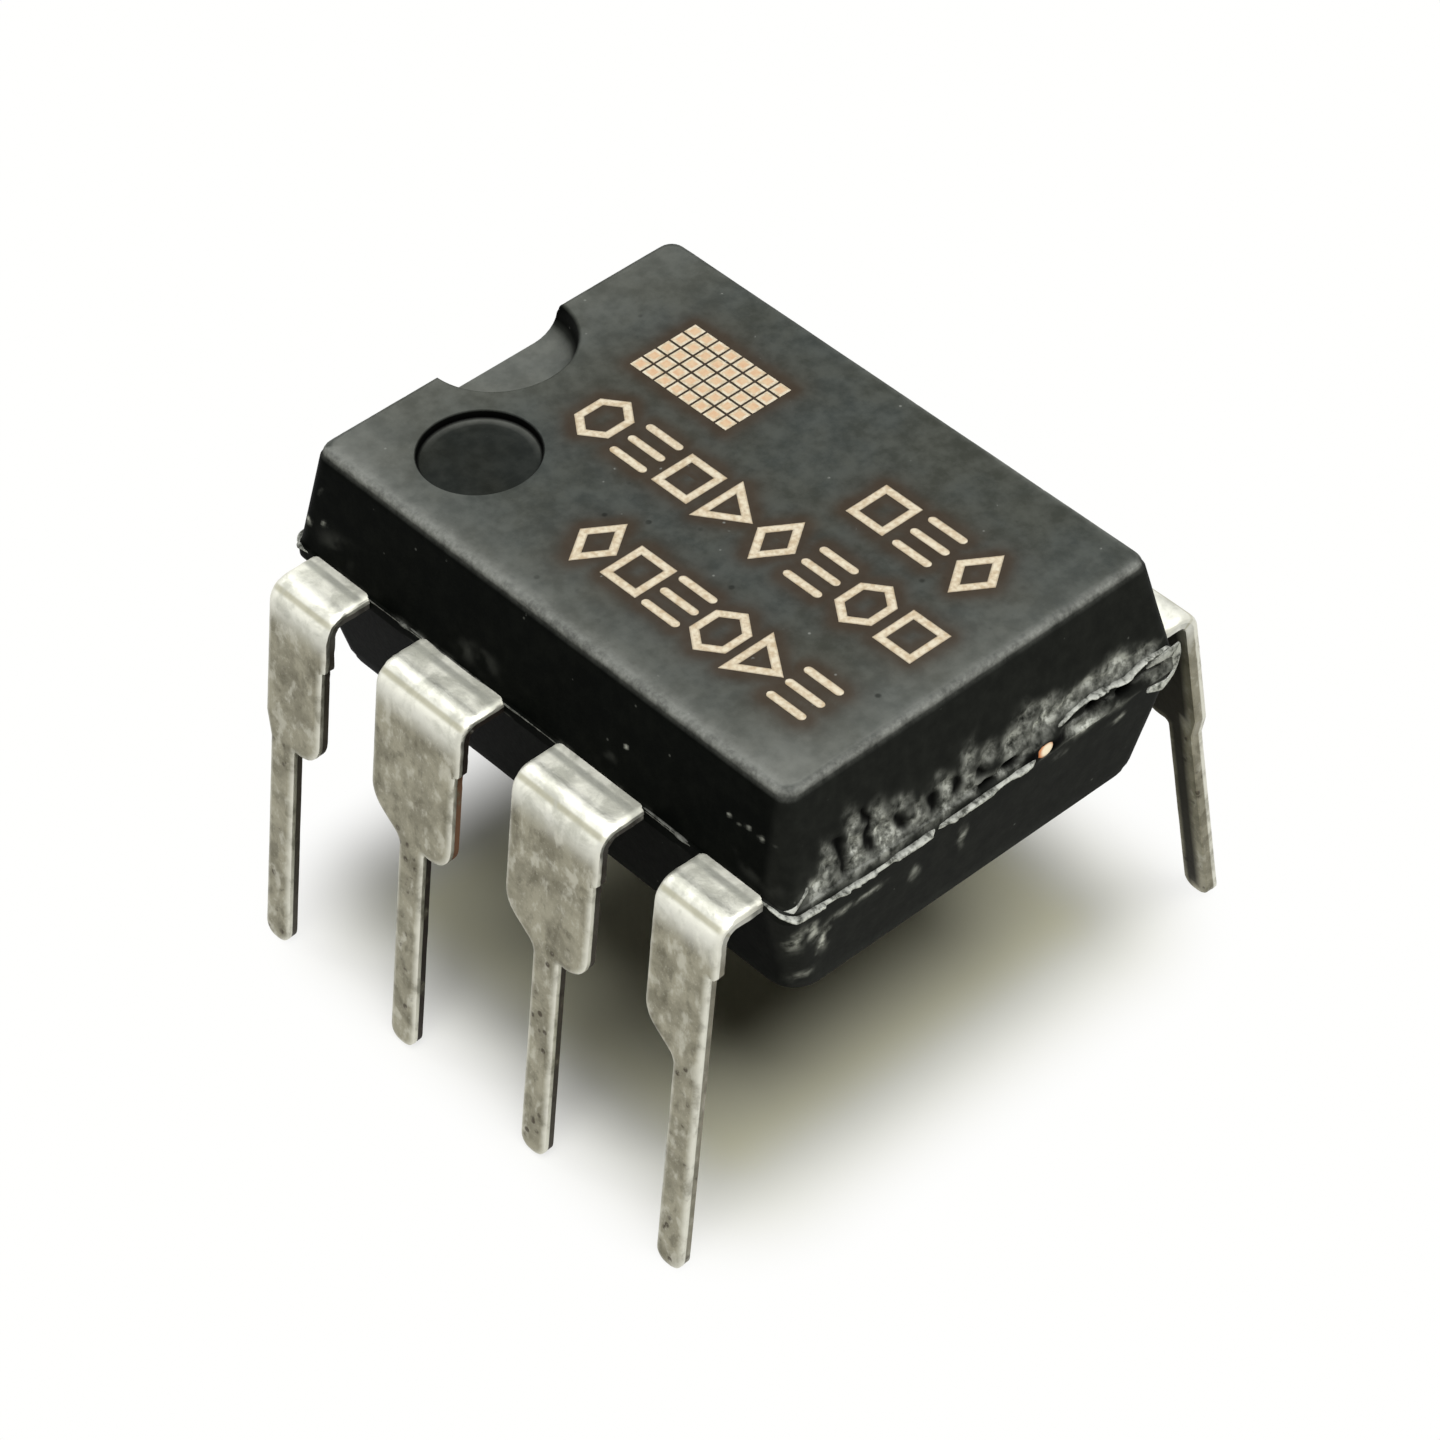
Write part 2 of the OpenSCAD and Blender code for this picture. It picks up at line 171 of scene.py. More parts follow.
class ChipStageLook(bpy.types.PropertyGroup):
    """The camera, the floor and the lamps"""

    azimuth: angle("Azimuth", "Turn of the camera round the object", 49.549)
    elevation: angle("Elevation", "Height of the camera above the horizon", 43.794)
    roll: angle("Roll", "Turn of the camera about its own axis", -2.394)
    distance: length("Distance", "From the camera to the aim point", 63.379)
    shift_x: length("Aim right", "Aim point to the right of the body's middle", -0.123)
    shift_y: length("Aim up", "Aim point above the body's middle", -1.463)
    lens: FloatProperty(name="Lens", description="Focal length in mm on a 36 mm sensor", default=129.225)
    # Warm pale floor colour under and round the object, which paints a warm tint into its shadow
    floor: colour("Floor", "Pale floor under the object", 246, 244, 217)


# Smooth random fields, the same on every run

def value_noise(points, size, seed=0):
    """Smooth noise from 0 to 1 at each point, with features of about the given size."""
    place = np.asarray(points, float) / size + 11.7 * seed + 100
    cell = np.floor(place).astype(np.int64)
    part = place - cell
    part = part * part * (3 - 2 * part)
    total = np.zeros(len(place))
    for corner in itertools.product((0, 1), repeat=place.shape[1]):
        spot = cell + np.array(corner)
        mixed = (spot * np.array([73856093, 19349663, 83492791][:place.shape[1]])).sum(1) + 1013 * seed
        mixed = (mixed ^ (mixed >> 13)) * 1274126177 & 0x7FFFFFFF
        mixed = (mixed ^ (mixed >> 16)) & 0xFFFF
        weight = np.where(np.array(corner) == 1, part, 1 - part).prod(1)
        total += weight * mixed / 0xFFFF
    return total


def rough_noise(points, size, seed=0, octaves=3):
    """Layers of value noise, each half the size and strength of the last, from 0 to 1."""
    strengths = [0.5 ** i for i in range(octaves)]
    layers = [s * value_noise(points, size * s, seed + i) for i, s in enumerate(strengths)]
    return sum(layers) / sum(strengths)


def smoothstep(low, high, x):
    """0 below low, 1 above high and smooth between. It falls instead where low is the larger."""
    part = np.clip((x - low) / (high - low), 0, 1)
    return part * part * (3 - 2 * part)


def soft_oval(across, up, half_w, half_h):
    """1 in the middle of an oval and 0 outside it, with a soft edge."""
    return np.exp(-((across / half_w) ** 2 + (up / half_h) ** 2) ** 2)


def soft_box(across, up, half_w, half_h, power=6):
    """1 in the middle of a rectangle and 0 outside it, with a soft edge and round corners."""
    return np.exp(-((across / half_w) ** power + (up / half_h) ** power))


def gap_to_line(spots, a, b):
    """Distance of each spot from the straight line between two points."""
    part = np.clip(((spots - a) @ (b - a)) / ((b - a) @ (b - a)), 0, 1)
    return np.linalg.norm(spots - a - part[:, None] * (b - a), axis=1)


# Making meshes

def skin_faces(rows, count):
    """Quads between closed rings of points, and a cap on the first and the last ring."""
    quads = [
        (low + i, low + (i + 1) % count, low + count + (i + 1) % count, low + count + i)
        for low in range(0, (rows - 1) * count, count)
        for i in range(count)
    ]
    first = tuple(range(count - 1, -1, -1))
    last = tuple((rows - 1) * count + i for i in range(count))
    return [first, *quads, last]


def new_mesh(name, points, faces):
    mesh = bpy.data.meshes.new(name)
    mesh.from_pydata([tuple(p) for p in points], [], faces)
    mesh.validate()
    return mesh


def set_field(mesh, name, values):
    field = mesh.attributes.get(name) or mesh.attributes.new(name, "FLOAT", "POINT")
    field.data.foreach_set("value", np.asarray(values, np.float32))


def get_field(mesh, name):
    return np.array([v.value for v in mesh.attributes[name].data])


def mesh_points(mesh):
    flat = np.empty(3 * len(mesh.vertices), np.float32)
    mesh.vertices.foreach_get("co", flat)
    return flat.reshape(-1, 3).astype(float)


def add_piece(name, mesh, material, replaces=(), sharp=35):
    """Links a mesh as a piece of the object, shaded smooth except across sharp edges."""
    mesh.shade_smooth()
    mesh.set_sharp_from_angle(angle=math.radians(sharp))
    mesh.materials.clear()
    mesh.materials.append(material)
    piece = bpy.data.objects.new(name, mesh)
    bpy.context.scene.collection.objects.link(piece)
    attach(piece, BODY)
    if replaces:
        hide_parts(*replaces)
    return piece


def revolved(profile, centre, segments):
    """Closed solid turned about an upright axis: profile lists (radius, height) from bottom to top."""
    turns = [2 * math.pi * i / segments for i in range(segments)]
    points = [
        (centre[0] + r * math.cos(a), centre[1] + r * math.sin(a), z)
        for r, z in profile
        for a in turns
    ]
    return points, skin_faces(len(profile), segments)


def cut_away(mesh, solids):
    """The mesh with each solid, given as points and faces, cut out of it."""
    points = []
    faces = []
    for solid_points, solid_faces in solids:
        faces += [tuple(i + len(points) for i in face) for face in solid_faces]
        points += solid_points
    scene = bpy.context.scene.collection
    body = bpy.data.objects.new("uncut", mesh)
    cutter = bpy.data.objects.new("cutter", new_mesh("cutter", points, faces))
    scene.objects.link(body)
    scene.objects.link(cutter)
    boolean = body.modifiers.new("cut", "BOOLEAN")
    boolean.operation = "DIFFERENCE"
    boolean.solver = "EXACT"
    boolean.object = cutter
    depsgraph = bpy.context.evaluated_depsgraph_get()
    result = bpy.data.meshes.new_from_object(body.evaluated_get(depsgraph))
    bpy.data.objects.remove(body)
    bpy.data.objects.remove(cutter)
    if len(result.vertices) < len(mesh.vertices) / 2:
        raise RuntimeError("the cut removed most of the body")
    return result


# Shaders

class Value:
    """An output of a node tree. Arithmetic on it adds Math nodes."""

    def __init__(self, nodes, socket):
        self.nodes = nodes
        self.socket = socket

    def math(self, operation, *inputs):
        return self.nodes.node("ShaderNodeMath", {"operation": operation}, dict(enumerate(inputs)))

    def __add__(self, other):
        return self.math("ADD", self, other)

    def __radd__(self, other):
        return self.math("ADD", other, self)

    def __sub__(self, other):
        return self.math("SUBTRACT", self, other)

    def __rsub__(self, other):
        return self.math("SUBTRACT", other, self)

    def __mul__(self, other):
        return self.math("MULTIPLY", self, other)

    def __rmul__(self, other):
        return self.math("MULTIPLY", other, self)

    def absolute(self):
        return self.math("ABSOLUTE", self)

    def at_least(self, low):
        return self.math("MAXIMUM", self, low)

    def clamped(self):
        return self.math("MINIMUM", self.at_least(0.0), 1.0)

    def span(self, other):
        """Length of a slanting line whose legs are this value and the other."""
        return self.math("SQRT", self * self + other * other)


class Nodes:
    """A node tree. One method adds any node, and its outputs come back as Value."""

    def __init__(self, tree):
        self.tree = tree

    def node(self, kind, settings=None, inputs=None, output=0):
        """Adds a node: its settings first, then a value or a link for each named or numbered socket."""
        node = self.tree.nodes.new(kind)
        for key, value in (settings or {}).items():
            setattr(node, key, value)
        for key, value in (inputs or {}).items():
            self.feed(node.inputs[key], value)
        return Value(self, node.outputs[output])

    def feed(self, socket, value):
        if isinstance(value, Value):
            self.tree.links.new(value.socket, socket)
        elif socket.type == "RGBA":
            socket.default_value = (*value[:3], 1.0)
        else:
            socket.default_value = value

    def end_with(self, output, factor, lit, white):
        """Ends the tree with a mix of two shaders. The factor is 1 where the white one is seen."""
        mixed = self.node("ShaderNodeMixShader", None, {0: factor, 1: lit, 2: white})
        self.feed(self.tree.nodes[output].inputs["Surface"], mixed)

    def seen(self):
        """1 where the camera sees a place, directly or by a mirror or glass, and 0 for rays of light."""
        camera, glossy, through = [
            self.node("ShaderNodeLightPath", output=f"Is {ray} Ray")
            for ray in ("Camera", "Glossy", "Transmission")]
        return camera.at_least(glossy).at_least(through)


class Shader(Nodes):
    """A material with one surface shader, and the textures that feed it."""

    def __init__(self, name, roughness=0.5, metallic=0.0, specular=0.5):
        self.material = bpy.data.materials.new(name)
        self.material.use_nodes = True
        super().__init__(self.material.node_tree)
        self.surface = self.tree.nodes["Principled BSDF"]
        self.set(Roughness=roughness, Metallic=metallic, Specular_IOR_Level=specular)
        self.place = self.node("ShaderNodeTexCoord", output="Object")

    def set(self, **inputs):
        """Feeds the surface's own sockets, with underscores for the spaces in their names."""
        for key, value in inputs.items():
            self.feed(self.surface.inputs[key.replace("_", " ")], value)
        return self

    def noise(self, size, detail=3.0, roughness=0.5, distortion=0.0, place=None):
        return self.node(
            "ShaderNodeTexNoise", {"noise_dimensions": "3D"},
            {"Vector": place or self.place, "Scale": 1 / size, "Detail": detail,
             "Roughness": roughness, "Distortion": distortion})

    def cells(self, size, distance="EUCLIDEAN", randomness=1.0):
        return self.node(
            "ShaderNodeTexVoronoi", {"voronoi_dimensions": "3D", "distance": distance},
            {"Vector": self.place, "Scale": 1 / size, "Randomness": randomness})

    def axis(self, name):
        return self.node("ShaderNodeSeparateXYZ", None, {"Vector": self.place}, name)

    def field(self, name):
        return self.node("ShaderNodeAttribute", {"attribute_name": name}, output="Fac")

    def ramp(self, value, low, high):
        """0 below low, 1 above high and smooth between. It falls instead where low is the larger."""
        return self.node(
            "ShaderNodeMapRange", {"interpolation_type": "SMOOTHSTEP", "clamp": True},
            {0: value, 1: low, 2: high, 3: 0.0, 4: 1.0})

    def blend(self, factor, first, second):
        """Mix of two colours."""
        return self.node("ShaderNodeMix", {"data_type": "RGBA"}, {0: factor, 6: first, 7: second}, 2)

    def bump(self, height, distance, strength=1.0, normal=None):
        inputs = {"Height": height, "Distance": distance, "Strength": strength}
        if normal:
            inputs["Normal"] = normal
        return self.node("ShaderNodeBump", None, inputs)


def epoxy_material(look, marks):
    """Glass-filled moulding resin: matt grey top, near-black walls, bruised edges with a painted
    highlight, fresh breaks, pale dust with a painted sheen, and painted shade in pits and hollows.
    """
    s = Shader("moulded_epoxy", roughness=0.5, specular=0.01)
    top, wear_and_highlight, scar = s.field("top"), s.field("wear_and_highlight"), s.field("scar")
    dust_and_sheen, singe, pit_and_painted_shade = s.field("dust_and_sheen"), s.field("singe"), s.field("pit_and_painted_shade")
    cloud = s.noise(1.3 * MM, 4, 0.55)
    grain = s.noise(0.055 * MM, 4, 0.6)
    mottle = s.noise(0.24 * MM, 5, 0.6)
    speck = s.ramp(s.cells(0.3 * MM), 0.085, 0.03)
    dust = s.ramp(s.cells(0.46 * MM), 0.12, 0.05)

    olive = s.blend(0.5, look.top_colour, paint(75, 74, 63))
    cool = s.blend(0.5, look.top_colour, paint(72, 79, 80))
    mottled = s.blend(s.ramp(mottle, 0.3, 0.7), paint(58, 61, 57), paint(97, 100, 95))
    top_tint = s.blend(0.45, s.blend(s.ramp(cloud, 0.34, 0.66), olive, cool), mottled)
    grey = s.blend(s.ramp(mottle, 0.35, 0.75), look.wall_colour, paint(16, 18, 15))
    tint = s.blend(top, grey, top_tint)
    # Pale dust, and a painted sheen where the top face and the floors of the notch and the recess catch
    # light
    tint = s.blend(dust_and_sheen * (0.55 + mottle * 0.9), tint, look.dust_and_sheen_colour)
    tint = s.blend(s.ramp(singe, 0.0, 1.0) * 0.72, tint, marks.singe)
    bruised = 0.45 + s.ramp(grain, 0.35, 0.68) * 0.3 + s.ramp(mottle, 0.35, 0.65) * 0.4
    # Worn top edges, with a painted highlight on their round
    tint = s.blend((wear_and_highlight * bruised).clamped(), tint, look.wear_and_highlight_colour)
    patch = s.noise(0.14 * MM, 4, 0.6)
    broken = s.blend(s.ramp(patch, 0.46, 0.62) * scar, look.scar_colour, paint(240, 242, 234))
    tint = s.blend(scar * s.ramp(patch, 0.24, 0.6), tint, broken)
    tint = s.blend(speck * s.ramp(mottle, 0.5, 0.56) * (0.25 + top * 0.45), tint, paint(150, 152, 147))
    tint = s.blend(dust * s.ramp(cloud, 0.46, 0.6) * top * 0.6, tint, paint(26, 28, 26))
    # Painted shade, near black, in the pits, gouges and hollows of the broken end and on the wall of the
    # recess
    tint = s.blend(pit_and_painted_shade, tint, paint(4, 4, 4))

    height = grain * 0.55 + mottle * 0.45
    relief = s.bump(height, 0.01 * MM, 0.5)
    relief = s.bump(patch, 0.05 * MM, 0.8 * (scar + wear_and_highlight * 0.1).clamped(), relief)
    rough = 0.42 + grain * 0.16 + top * 0.14 + (scar + wear_and_highlight).clamped() * 0.14
    return s.set(Base_Color=tint, Roughness=rough, Normal=relief).material


def flash_material():
    """Thin torn resin, pale where it broke and dark at its root."""
    s = Shader("mould_flash", roughness=0.6, specular=0.04)
    torn = s.field("torn")
    patch = s.noise(0.12 * MM, 5, 0.65)
    dark = s.blend(s.ramp(patch, 0.3, 0.7), paint(12, 13, 11), paint(48, 50, 45))
    pale = s.blend(s.ramp(patch, 0.32, 0.6), paint(92, 94, 87), paint(228, 230, 222))
    tint = s.blend(torn, dark, pale)
    relief = s.bump(s.noise(0.05 * MM, 4, 0.65), 0.02 * MM, 0.8)
    return s.set(Base_Color=tint, Roughness=0.5 + patch * 0.25, Normal=relief).material


def ink_material(look):
    """Marks burnt into the resin: cream, with a warmer fill and softly browned borders."""
    s = Shader("mark_ink", roughness=0.6, specular=0.25)
    rim, fill = s.field("rim"), s.field("fill")
    patch = s.noise(0.09 * MM, 4, 0.6)
    cream = s.blend(s.ramp(patch, 0.3, 0.65), paint(208, 187, 154), look.ink)
    warm = s.blend(s.ramp(patch, 0.3, 0.7), look.fill, paint(226, 186, 148))
    tint = s.blend(fill, cream, warm)
    tint = s.blend(s.ramp(rim, 0.5, 1.05) * 0.55, tint, paint(150, 128, 98))
    relief = s.bump(patch, 0.006 * MM, 0.5)
    return s.set(Base_Color=tint, Roughness=0.55 + patch * 0.2, Normal=relief).material


def tin_material(look):
    """Dull tin plating over copper: cloudy patches, pits, a painted highlight on the shoulders and where
    the bends start, a painted streak in the bends, painted shade on the inner faces, bright sheared edges
    with painted highlights, and dark broken edges.
    """
    s = Shader("tinned_lead", roughness=0.34, metallic=1.0)
    side, sheared_and_highlight, bare, run = s.field("side"), s.field("sheared_and_highlight"), s.field("bare"), s.field("run")
    drawn = s.node("ShaderNodeMapping", None, {"Vector": s.place, "Scale": (1, 1, 0.7)})
    cloud = s.noise(0.42 * MM, 5, 0.6, 0.4)
    patch = s.noise(0.23 * MM, 5, 0.58, 0.2, drawn)
    fine = s.noise(0.035 * MM, 4, 0.65)
    leg = s.ramp(run, 1.9, 2.5)
    speck = s.ramp(s.cells(0.15 * MM), 0.36, 0.2) * s.ramp(cloud, 0.5, 0.6)

    tint = s.blend(s.ramp(cloud, 0.36, 0.64), look.tin, s.blend(0.5, look.tin, look.dull))
    tint = s.blend(s.ramp(patch, 0.52, 0.68) * 0.45, tint, look.pale)
    tint = s.blend(s.ramp(patch, 0.48, 0.33) * 0.55, tint, look.dull)
    tint = s.blend(speck * (0.2 + leg * 0.65), tint, paint(60, 51, 38))
    tint = s.blend(s.ramp(fine, 0.55, 0.72) * 0.25, tint, look.pale)
    # Painted highlight, near white, on the shoulders and where the bends start
    shoulder = s.ramp(run, 0.7, 0.2)
    wiped = s.blend(s.ramp(cloud, 0.36, 0.6), paint(196, 197, 187), paint(240, 240, 230))
    tint = s.blend(shoulder * 0.85, tint, wiped)
    exit_streak = s.ramp(run, -0.35, -0.3) * s.ramp(run, -0.19, -0.26)
    exit_streak = exit_streak * (0.55 + s.ramp(cloud, 0.4, 0.56) * 0.45)
    tint = s.blend(exit_streak * 0.55, tint, paint(108, 111, 103))
    # Painted darker streak in the reflection on the bend, between its two highlights
    painted_bend_streak = s.ramp(run, 0.14, 0.17) * s.ramp(run, 0.23, 0.19) * s.ramp(cloud, 0.25, 0.5)
    tint = s.blend(painted_bend_streak * 0.6, tint, paint(156, 152, 122))
    # Painted shade, near black, on the inner faces of the leads
    back = s.field("back")
    tint = s.blend(back * 0.94, tint, s.blend(cloud, paint(18, 17, 14), paint(44, 42, 35)))
    # Bright sheared zone of the edges, with a painted highlight on the rolled edges and on the burr
    tint = s.blend(sheared_and_highlight * (0.35 + s.ramp(patch, 0.3, 0.55) * 0.55), tint, look.sheared_and_highlight)
    tint = s.blend(side * s.ramp(patch, 0.2, 0.42), tint, s.blend(bare, look.cut, look.bare))
    inside = s.ramp(run, -0.46, -0.52)
    copper = s.blend(s.ramp(cloud, 0.35, 0.7), paint(228, 150, 98), paint(176, 104, 66))
    tint = s.blend(inside, tint, copper)

    relief = s.bump(patch * 0.35 + cloud * 0.65, 0.03 * MM, 0.42)
    relief = s.bump(fine, 0.008 * MM, 0.3, relief)
    rough = 0.3 + patch * 0.2 + fine * 0.08 + (side + back) * 0.2 + s.ramp(run, 0.0, -0.1) * 0.14
    return s.set(
        Base_Color=tint, Roughness=rough.clamped(), Metallic=1 - side * 0.45, Normal=relief).material


def plain_metal(name, size, roughness, bright, dark, fresh):
    """Drawn or rolled metal with fine cloudy tarnish. Where a tie bar was cut at a body's end, its fresh
    copper is painted as a round glint, near white in the middle and orange at its rim.
    """
    s = Shader(name, roughness=roughness, metallic=1.0)
    cloud = s.noise(size, 5, 0.6, 0.4)
    tint = s.blend(s.ramp(cloud, 0.35, 0.7), bright, dark)
    # Painted round glint on the cut end of a tie bar, near white in the middle and orange at its rim
    from_bar = s.axis("Y").absolute() - TIE_BAR_Y * MM
    off_middle = from_bar.span(s.axis("Z") - PARTING_Z)
    painted_end_glint = s.blend(s.ramp(off_middle, 0.06 * MM, 0.13 * MM), fresh, paint(206, 132, 80))
    tint = s.blend(s.ramp(s.axis("X").absolute(), 4.5 * MM, 4.54 * MM), tint, painted_end_glint)
    relief = s.bump(s.noise(size / 6, 4, 0.6), 0.004 * MM, 0.6)
    return s.set(Base_Color=tint, Roughness=roughness + cloud * 0.2, Normal=relief).material


def resin_material():
    """Silver-filled adhesive: grey paste with bright flakes."""
    s = Shader("attach_resin", roughness=0.5, metallic=0.4)
    flake = s.ramp(s.cells(0.03 * MM), 0.4, 0.15)
    tint = s.blend(flake, paint(120, 122, 126), paint(188, 190, 196))
    relief = s.bump(s.noise(0.06 * MM, 4), 0.006 * MM, 0.7)
    return s.set(Base_Color=tint, Roughness=0.6 - flake * 0.25, Normal=relief).material


def silicon_material():
    """Polished silicon with a faint grid of circuit blocks on its face."""
    s = Shader("silicon", roughness=0.2, metallic=0.6)
    blocks = s.cells(0.12 * MM, "CHEBYCHEV", 0.6)
    tint = s.blend(s.ramp(blocks, 0.2, 0.6), paint(70, 82, 104), paint(44, 52, 70))
    tint = s.blend(s.ramp(s.noise(0.3 * MM), 0.5, 0.7) * 0.5, tint, paint(96, 88, 110))
    return s.set(Base_Color=tint, Roughness=0.16 + s.noise(0.05 * MM) * 0.2).material


def floor_material(look):
    """Plain pale floor that keeps the object's shadow, with a painted warm tint in that shadow, and turns
    plain white beyond it.
    """
    s = Shader("pale_floor", roughness=0.9, specular=0.05)
    gap_x, gap_y = [
        (s.axis(axis).absolute() - half).at_least(0.0)
        for axis, half in (("X", 2.8 * MM), ("Y", 2.7 * MM))]
    beyond = gap_x.span(gap_y)
    # Painted warm tint of the shade near the body, neutral further out
    neutral = s.blend(s.noise(40 * MM, 2), paint(250, 250, 240), paint(248, 248, 238))
    s.set(Base_Color=s.blend(s.ramp(beyond, 0.0, 0.9 * MM), look.floor, neutral))
    white = s.node("ShaderNodeEmission", None, {"Color": WHITE, "Strength": 1.0})
    lit = Value(s, s.surface.outputs[0])
    s.end_with("Material Output", s.ramp(beyond, 0.5 * MM, 2.5 * MM) * s.seen(), lit, white)
    return s.material


# Body

def turning(size_x, size_y, radius, corner_steps, steps_between):
    """Outline of a rectangle with round corners as points and outward directions, from the +X +Y corner
    counter-clockwise. The steps are those along the +Y side, the -X end, the -Y side and the +X end."""
    points = []
    outward = []
    signs = ((1, 1), (-1, 1), (-1, -1), (1, -1))
    centres = [(sx * (size_x / 2 - radius), sy * (size_y / 2 - radius)) for sx, sy in signs]
    for c, (cx, cy) in enumerate(centres):
        for i in range(corner_steps + 1):
            a = math.pi / 2 * (c + i / corner_steps)
            points.append((cx + radius * math.cos(a), cy + radius * math.sin(a)))
            outward.append((math.cos(a), math.sin(a)))
        nx, ny = centres[(c + 1) % 4]
        for i in range(1, steps_between[c]):
            part = i / steps_between[c]
            x = cx + (nx - cx) * part + radius * math.cos(a)
            y = cy + (ny - cy) * part + radius * math.sin(a)
            points.append((x, y))
            outward.append((math.cos(a), math.sin(a)))
    return np.array(points), np.array(outward)


def along_line(x, corners):
    """Height of a line through a few chosen corners, at each x."""
    xs, ys = zip(*corners)
    return np.interp(x, xs, ys)


# The torn lip at the plain end, as (y, z from the parting plane) in millimetres
LIP_CREST = [
    (-3.2, 0.0), (-2.5, -0.05), (-1.9, -0.09), (0.8, -0.05), (1.18, 0.2), (1.45, 0.28), (1.75, 0.31),
    (2.3, 0.23), (2.6, 0.29), (3.2, 0.29),
]
# Pale broken patches there, as (y, z, half width, half height) in millimetres, and how strong each one is
BRUISES = [
    (-2.74, 0.22, 0.14, 0.15, 0.9), (-2.5, 0.42, 0.12, 0.26, 0.85), (-2.46, 0.66, 0.14, 0.13, 0.5),
    (-2.05, 0.5, 0.12, 0.34, 1.0), (-2.1, 0.26, 0.18, 0.16, 0.8), (-1.62, 0.46, 0.16, 0.26, 0.95),
    (-1.55, 0.24, 0.17, 0.14, 0.9), (-1.7, 0.66, 0.12, 0.12, 0.5), (-1.1, 0.3, 0.16, 0.2, 0.75),
    (-1.28, 0.58, 0.13, 0.14, 0.55), (-0.65, 0.3, 0.14, 0.2, 0.75), (-0.7, 0.5, 0.14, 0.12, 0.4),
    (-0.26, 0.34, 0.13, 0.24, 0.75), (-0.22, 0.64, 0.16, 0.16, 0.5), (0.06, 0.48, 0.16, 0.14, 0.45),
    (0.43, 0.34, 0.18, 0.2, 0.8), (0.7, 0.6, 0.22, 0.16, 0.65), (0.95, 0.4, 0.3, 0.2, 1.0),
    (1.34, 0.44, 0.24, 0.18, 0.75), (1.75, 0.44, 0.2, 0.14, 0.7), (2.2, 0.42, 0.26, 0.17, 0.85),
    (2.65, 0.4, 0.26, 0.12, 0.55), (-1.9, 0.12, 0.9, 0.12, 0.45), (-0.4, 0.14, 0.7, 0.1, 0.4),
    (0.35, 0.14, 0.5, 0.05, 0.6), (2.9, 0.04, 0.22, 0.2, 0.75), (2.75, 0.16, 0.2, 0.1, 0.6),
    (1.4, 0.08, 0.2, 0.1, 0.8), (2.05, 0.16, 0.14, 0.1, 0.6), (1.6, 0.0, 0.3, 0.15, 0.95),
    (2.2, -0.12, 0.2, 0.06, 0.4), (2.23, -0.39, 0.1, 0.045, 0.8), (1.2, -0.3, 0.12, 0.06, 0.3),
    (-2.97, -0.54, 0.07, 0.24, 1.0), (-2.82, -0.38, 0.12, 0.09, 0.9), (-2.55, -0.8, 0.07, 0.24, 0.9),
    (-2.72, -0.56, 0.07, 0.16, 0.75), (-2.34, -0.52, 0.24, 0.07, 0.85), (-1.84, -0.54, 0.22, 0.06, 0.65),
    (-1.07, -0.73, 0.07, 0.12, 0.5), (-0.34, -0.66, 0.06, 0.18, 0.55), (-2.8, -1.36, 0.16, 0.07, 0.5),
]
# Gouges between the patches, painted nearly black as shade, as (y, lower z, upper z), with the half width
# that they share
GOUGES = [
    (-2.28, 0.1, 0.68), (-1.82, 0.16, 0.84), (-1.36, 0.18, 0.46), (-0.88, 0.16, 0.42),
    (-0.47, 0.18, 0.42), (-0.06, 0.2, 0.34),
]
GOUGE_HALF_W = 0.06
# Pits along the lip, painted black as shade, as (y, z), with the half width and half height that they
# share
PITS = [(-0.01, 0.07), (0.38, 0.12), (1.81, 0.14), (2.29, 0.08)]
PIT_HALF_SIZE = (0.13, 0.05)
# Small pale chips on the walls, as (x, y, z from the parting plane, radius) in millimetres
CHIPS = [
    (3.42, -3.06, 0.86, 0.03), (3.6, -3.06, 0.84, 0.022), (3.72, -3.05, 0.88, 0.03),
    (3.95, -3.05, 0.86, 0.035), (4.16, -3.04, 0.9, 0.025), (4.44, -2.92, 0.8, 0.03),
    (-4.1, -3.03, 1.0, 0.035), (-4.0, -3.08, 0.62, 0.045), (-4.3, -3.1, 0.5, 0.06),
    (1.62, -3.08, 0.72, 0.03),
]
# Distance of each tie bar from the middle line, and the middle of its part that shows, as (y, z)
TIE_BAR_Y = 0.95
TIE_BAR_SEEN = (0.92, 0.02)
# Steps round a corner of the body and along its +Y side, -X end, -Y side and +X end
CORNER_STEPS = 6
WALL_STEPS = (120, 110, 150, 190)
# The two round ejector marks below: radius, distance from the middle and depth
EJECTOR_R = 0.6 * MM
EJECTOR_X = 2.4 * MM
EJECTOR_DEPTH = 0.05 * MM


def bar_cover(z):
    """How far the resin stands out round a tie bar's end, with more above it to hide its upper edge."""
    return 0.014 + 0.034 * smoothstep(0.09, 0.1, z)


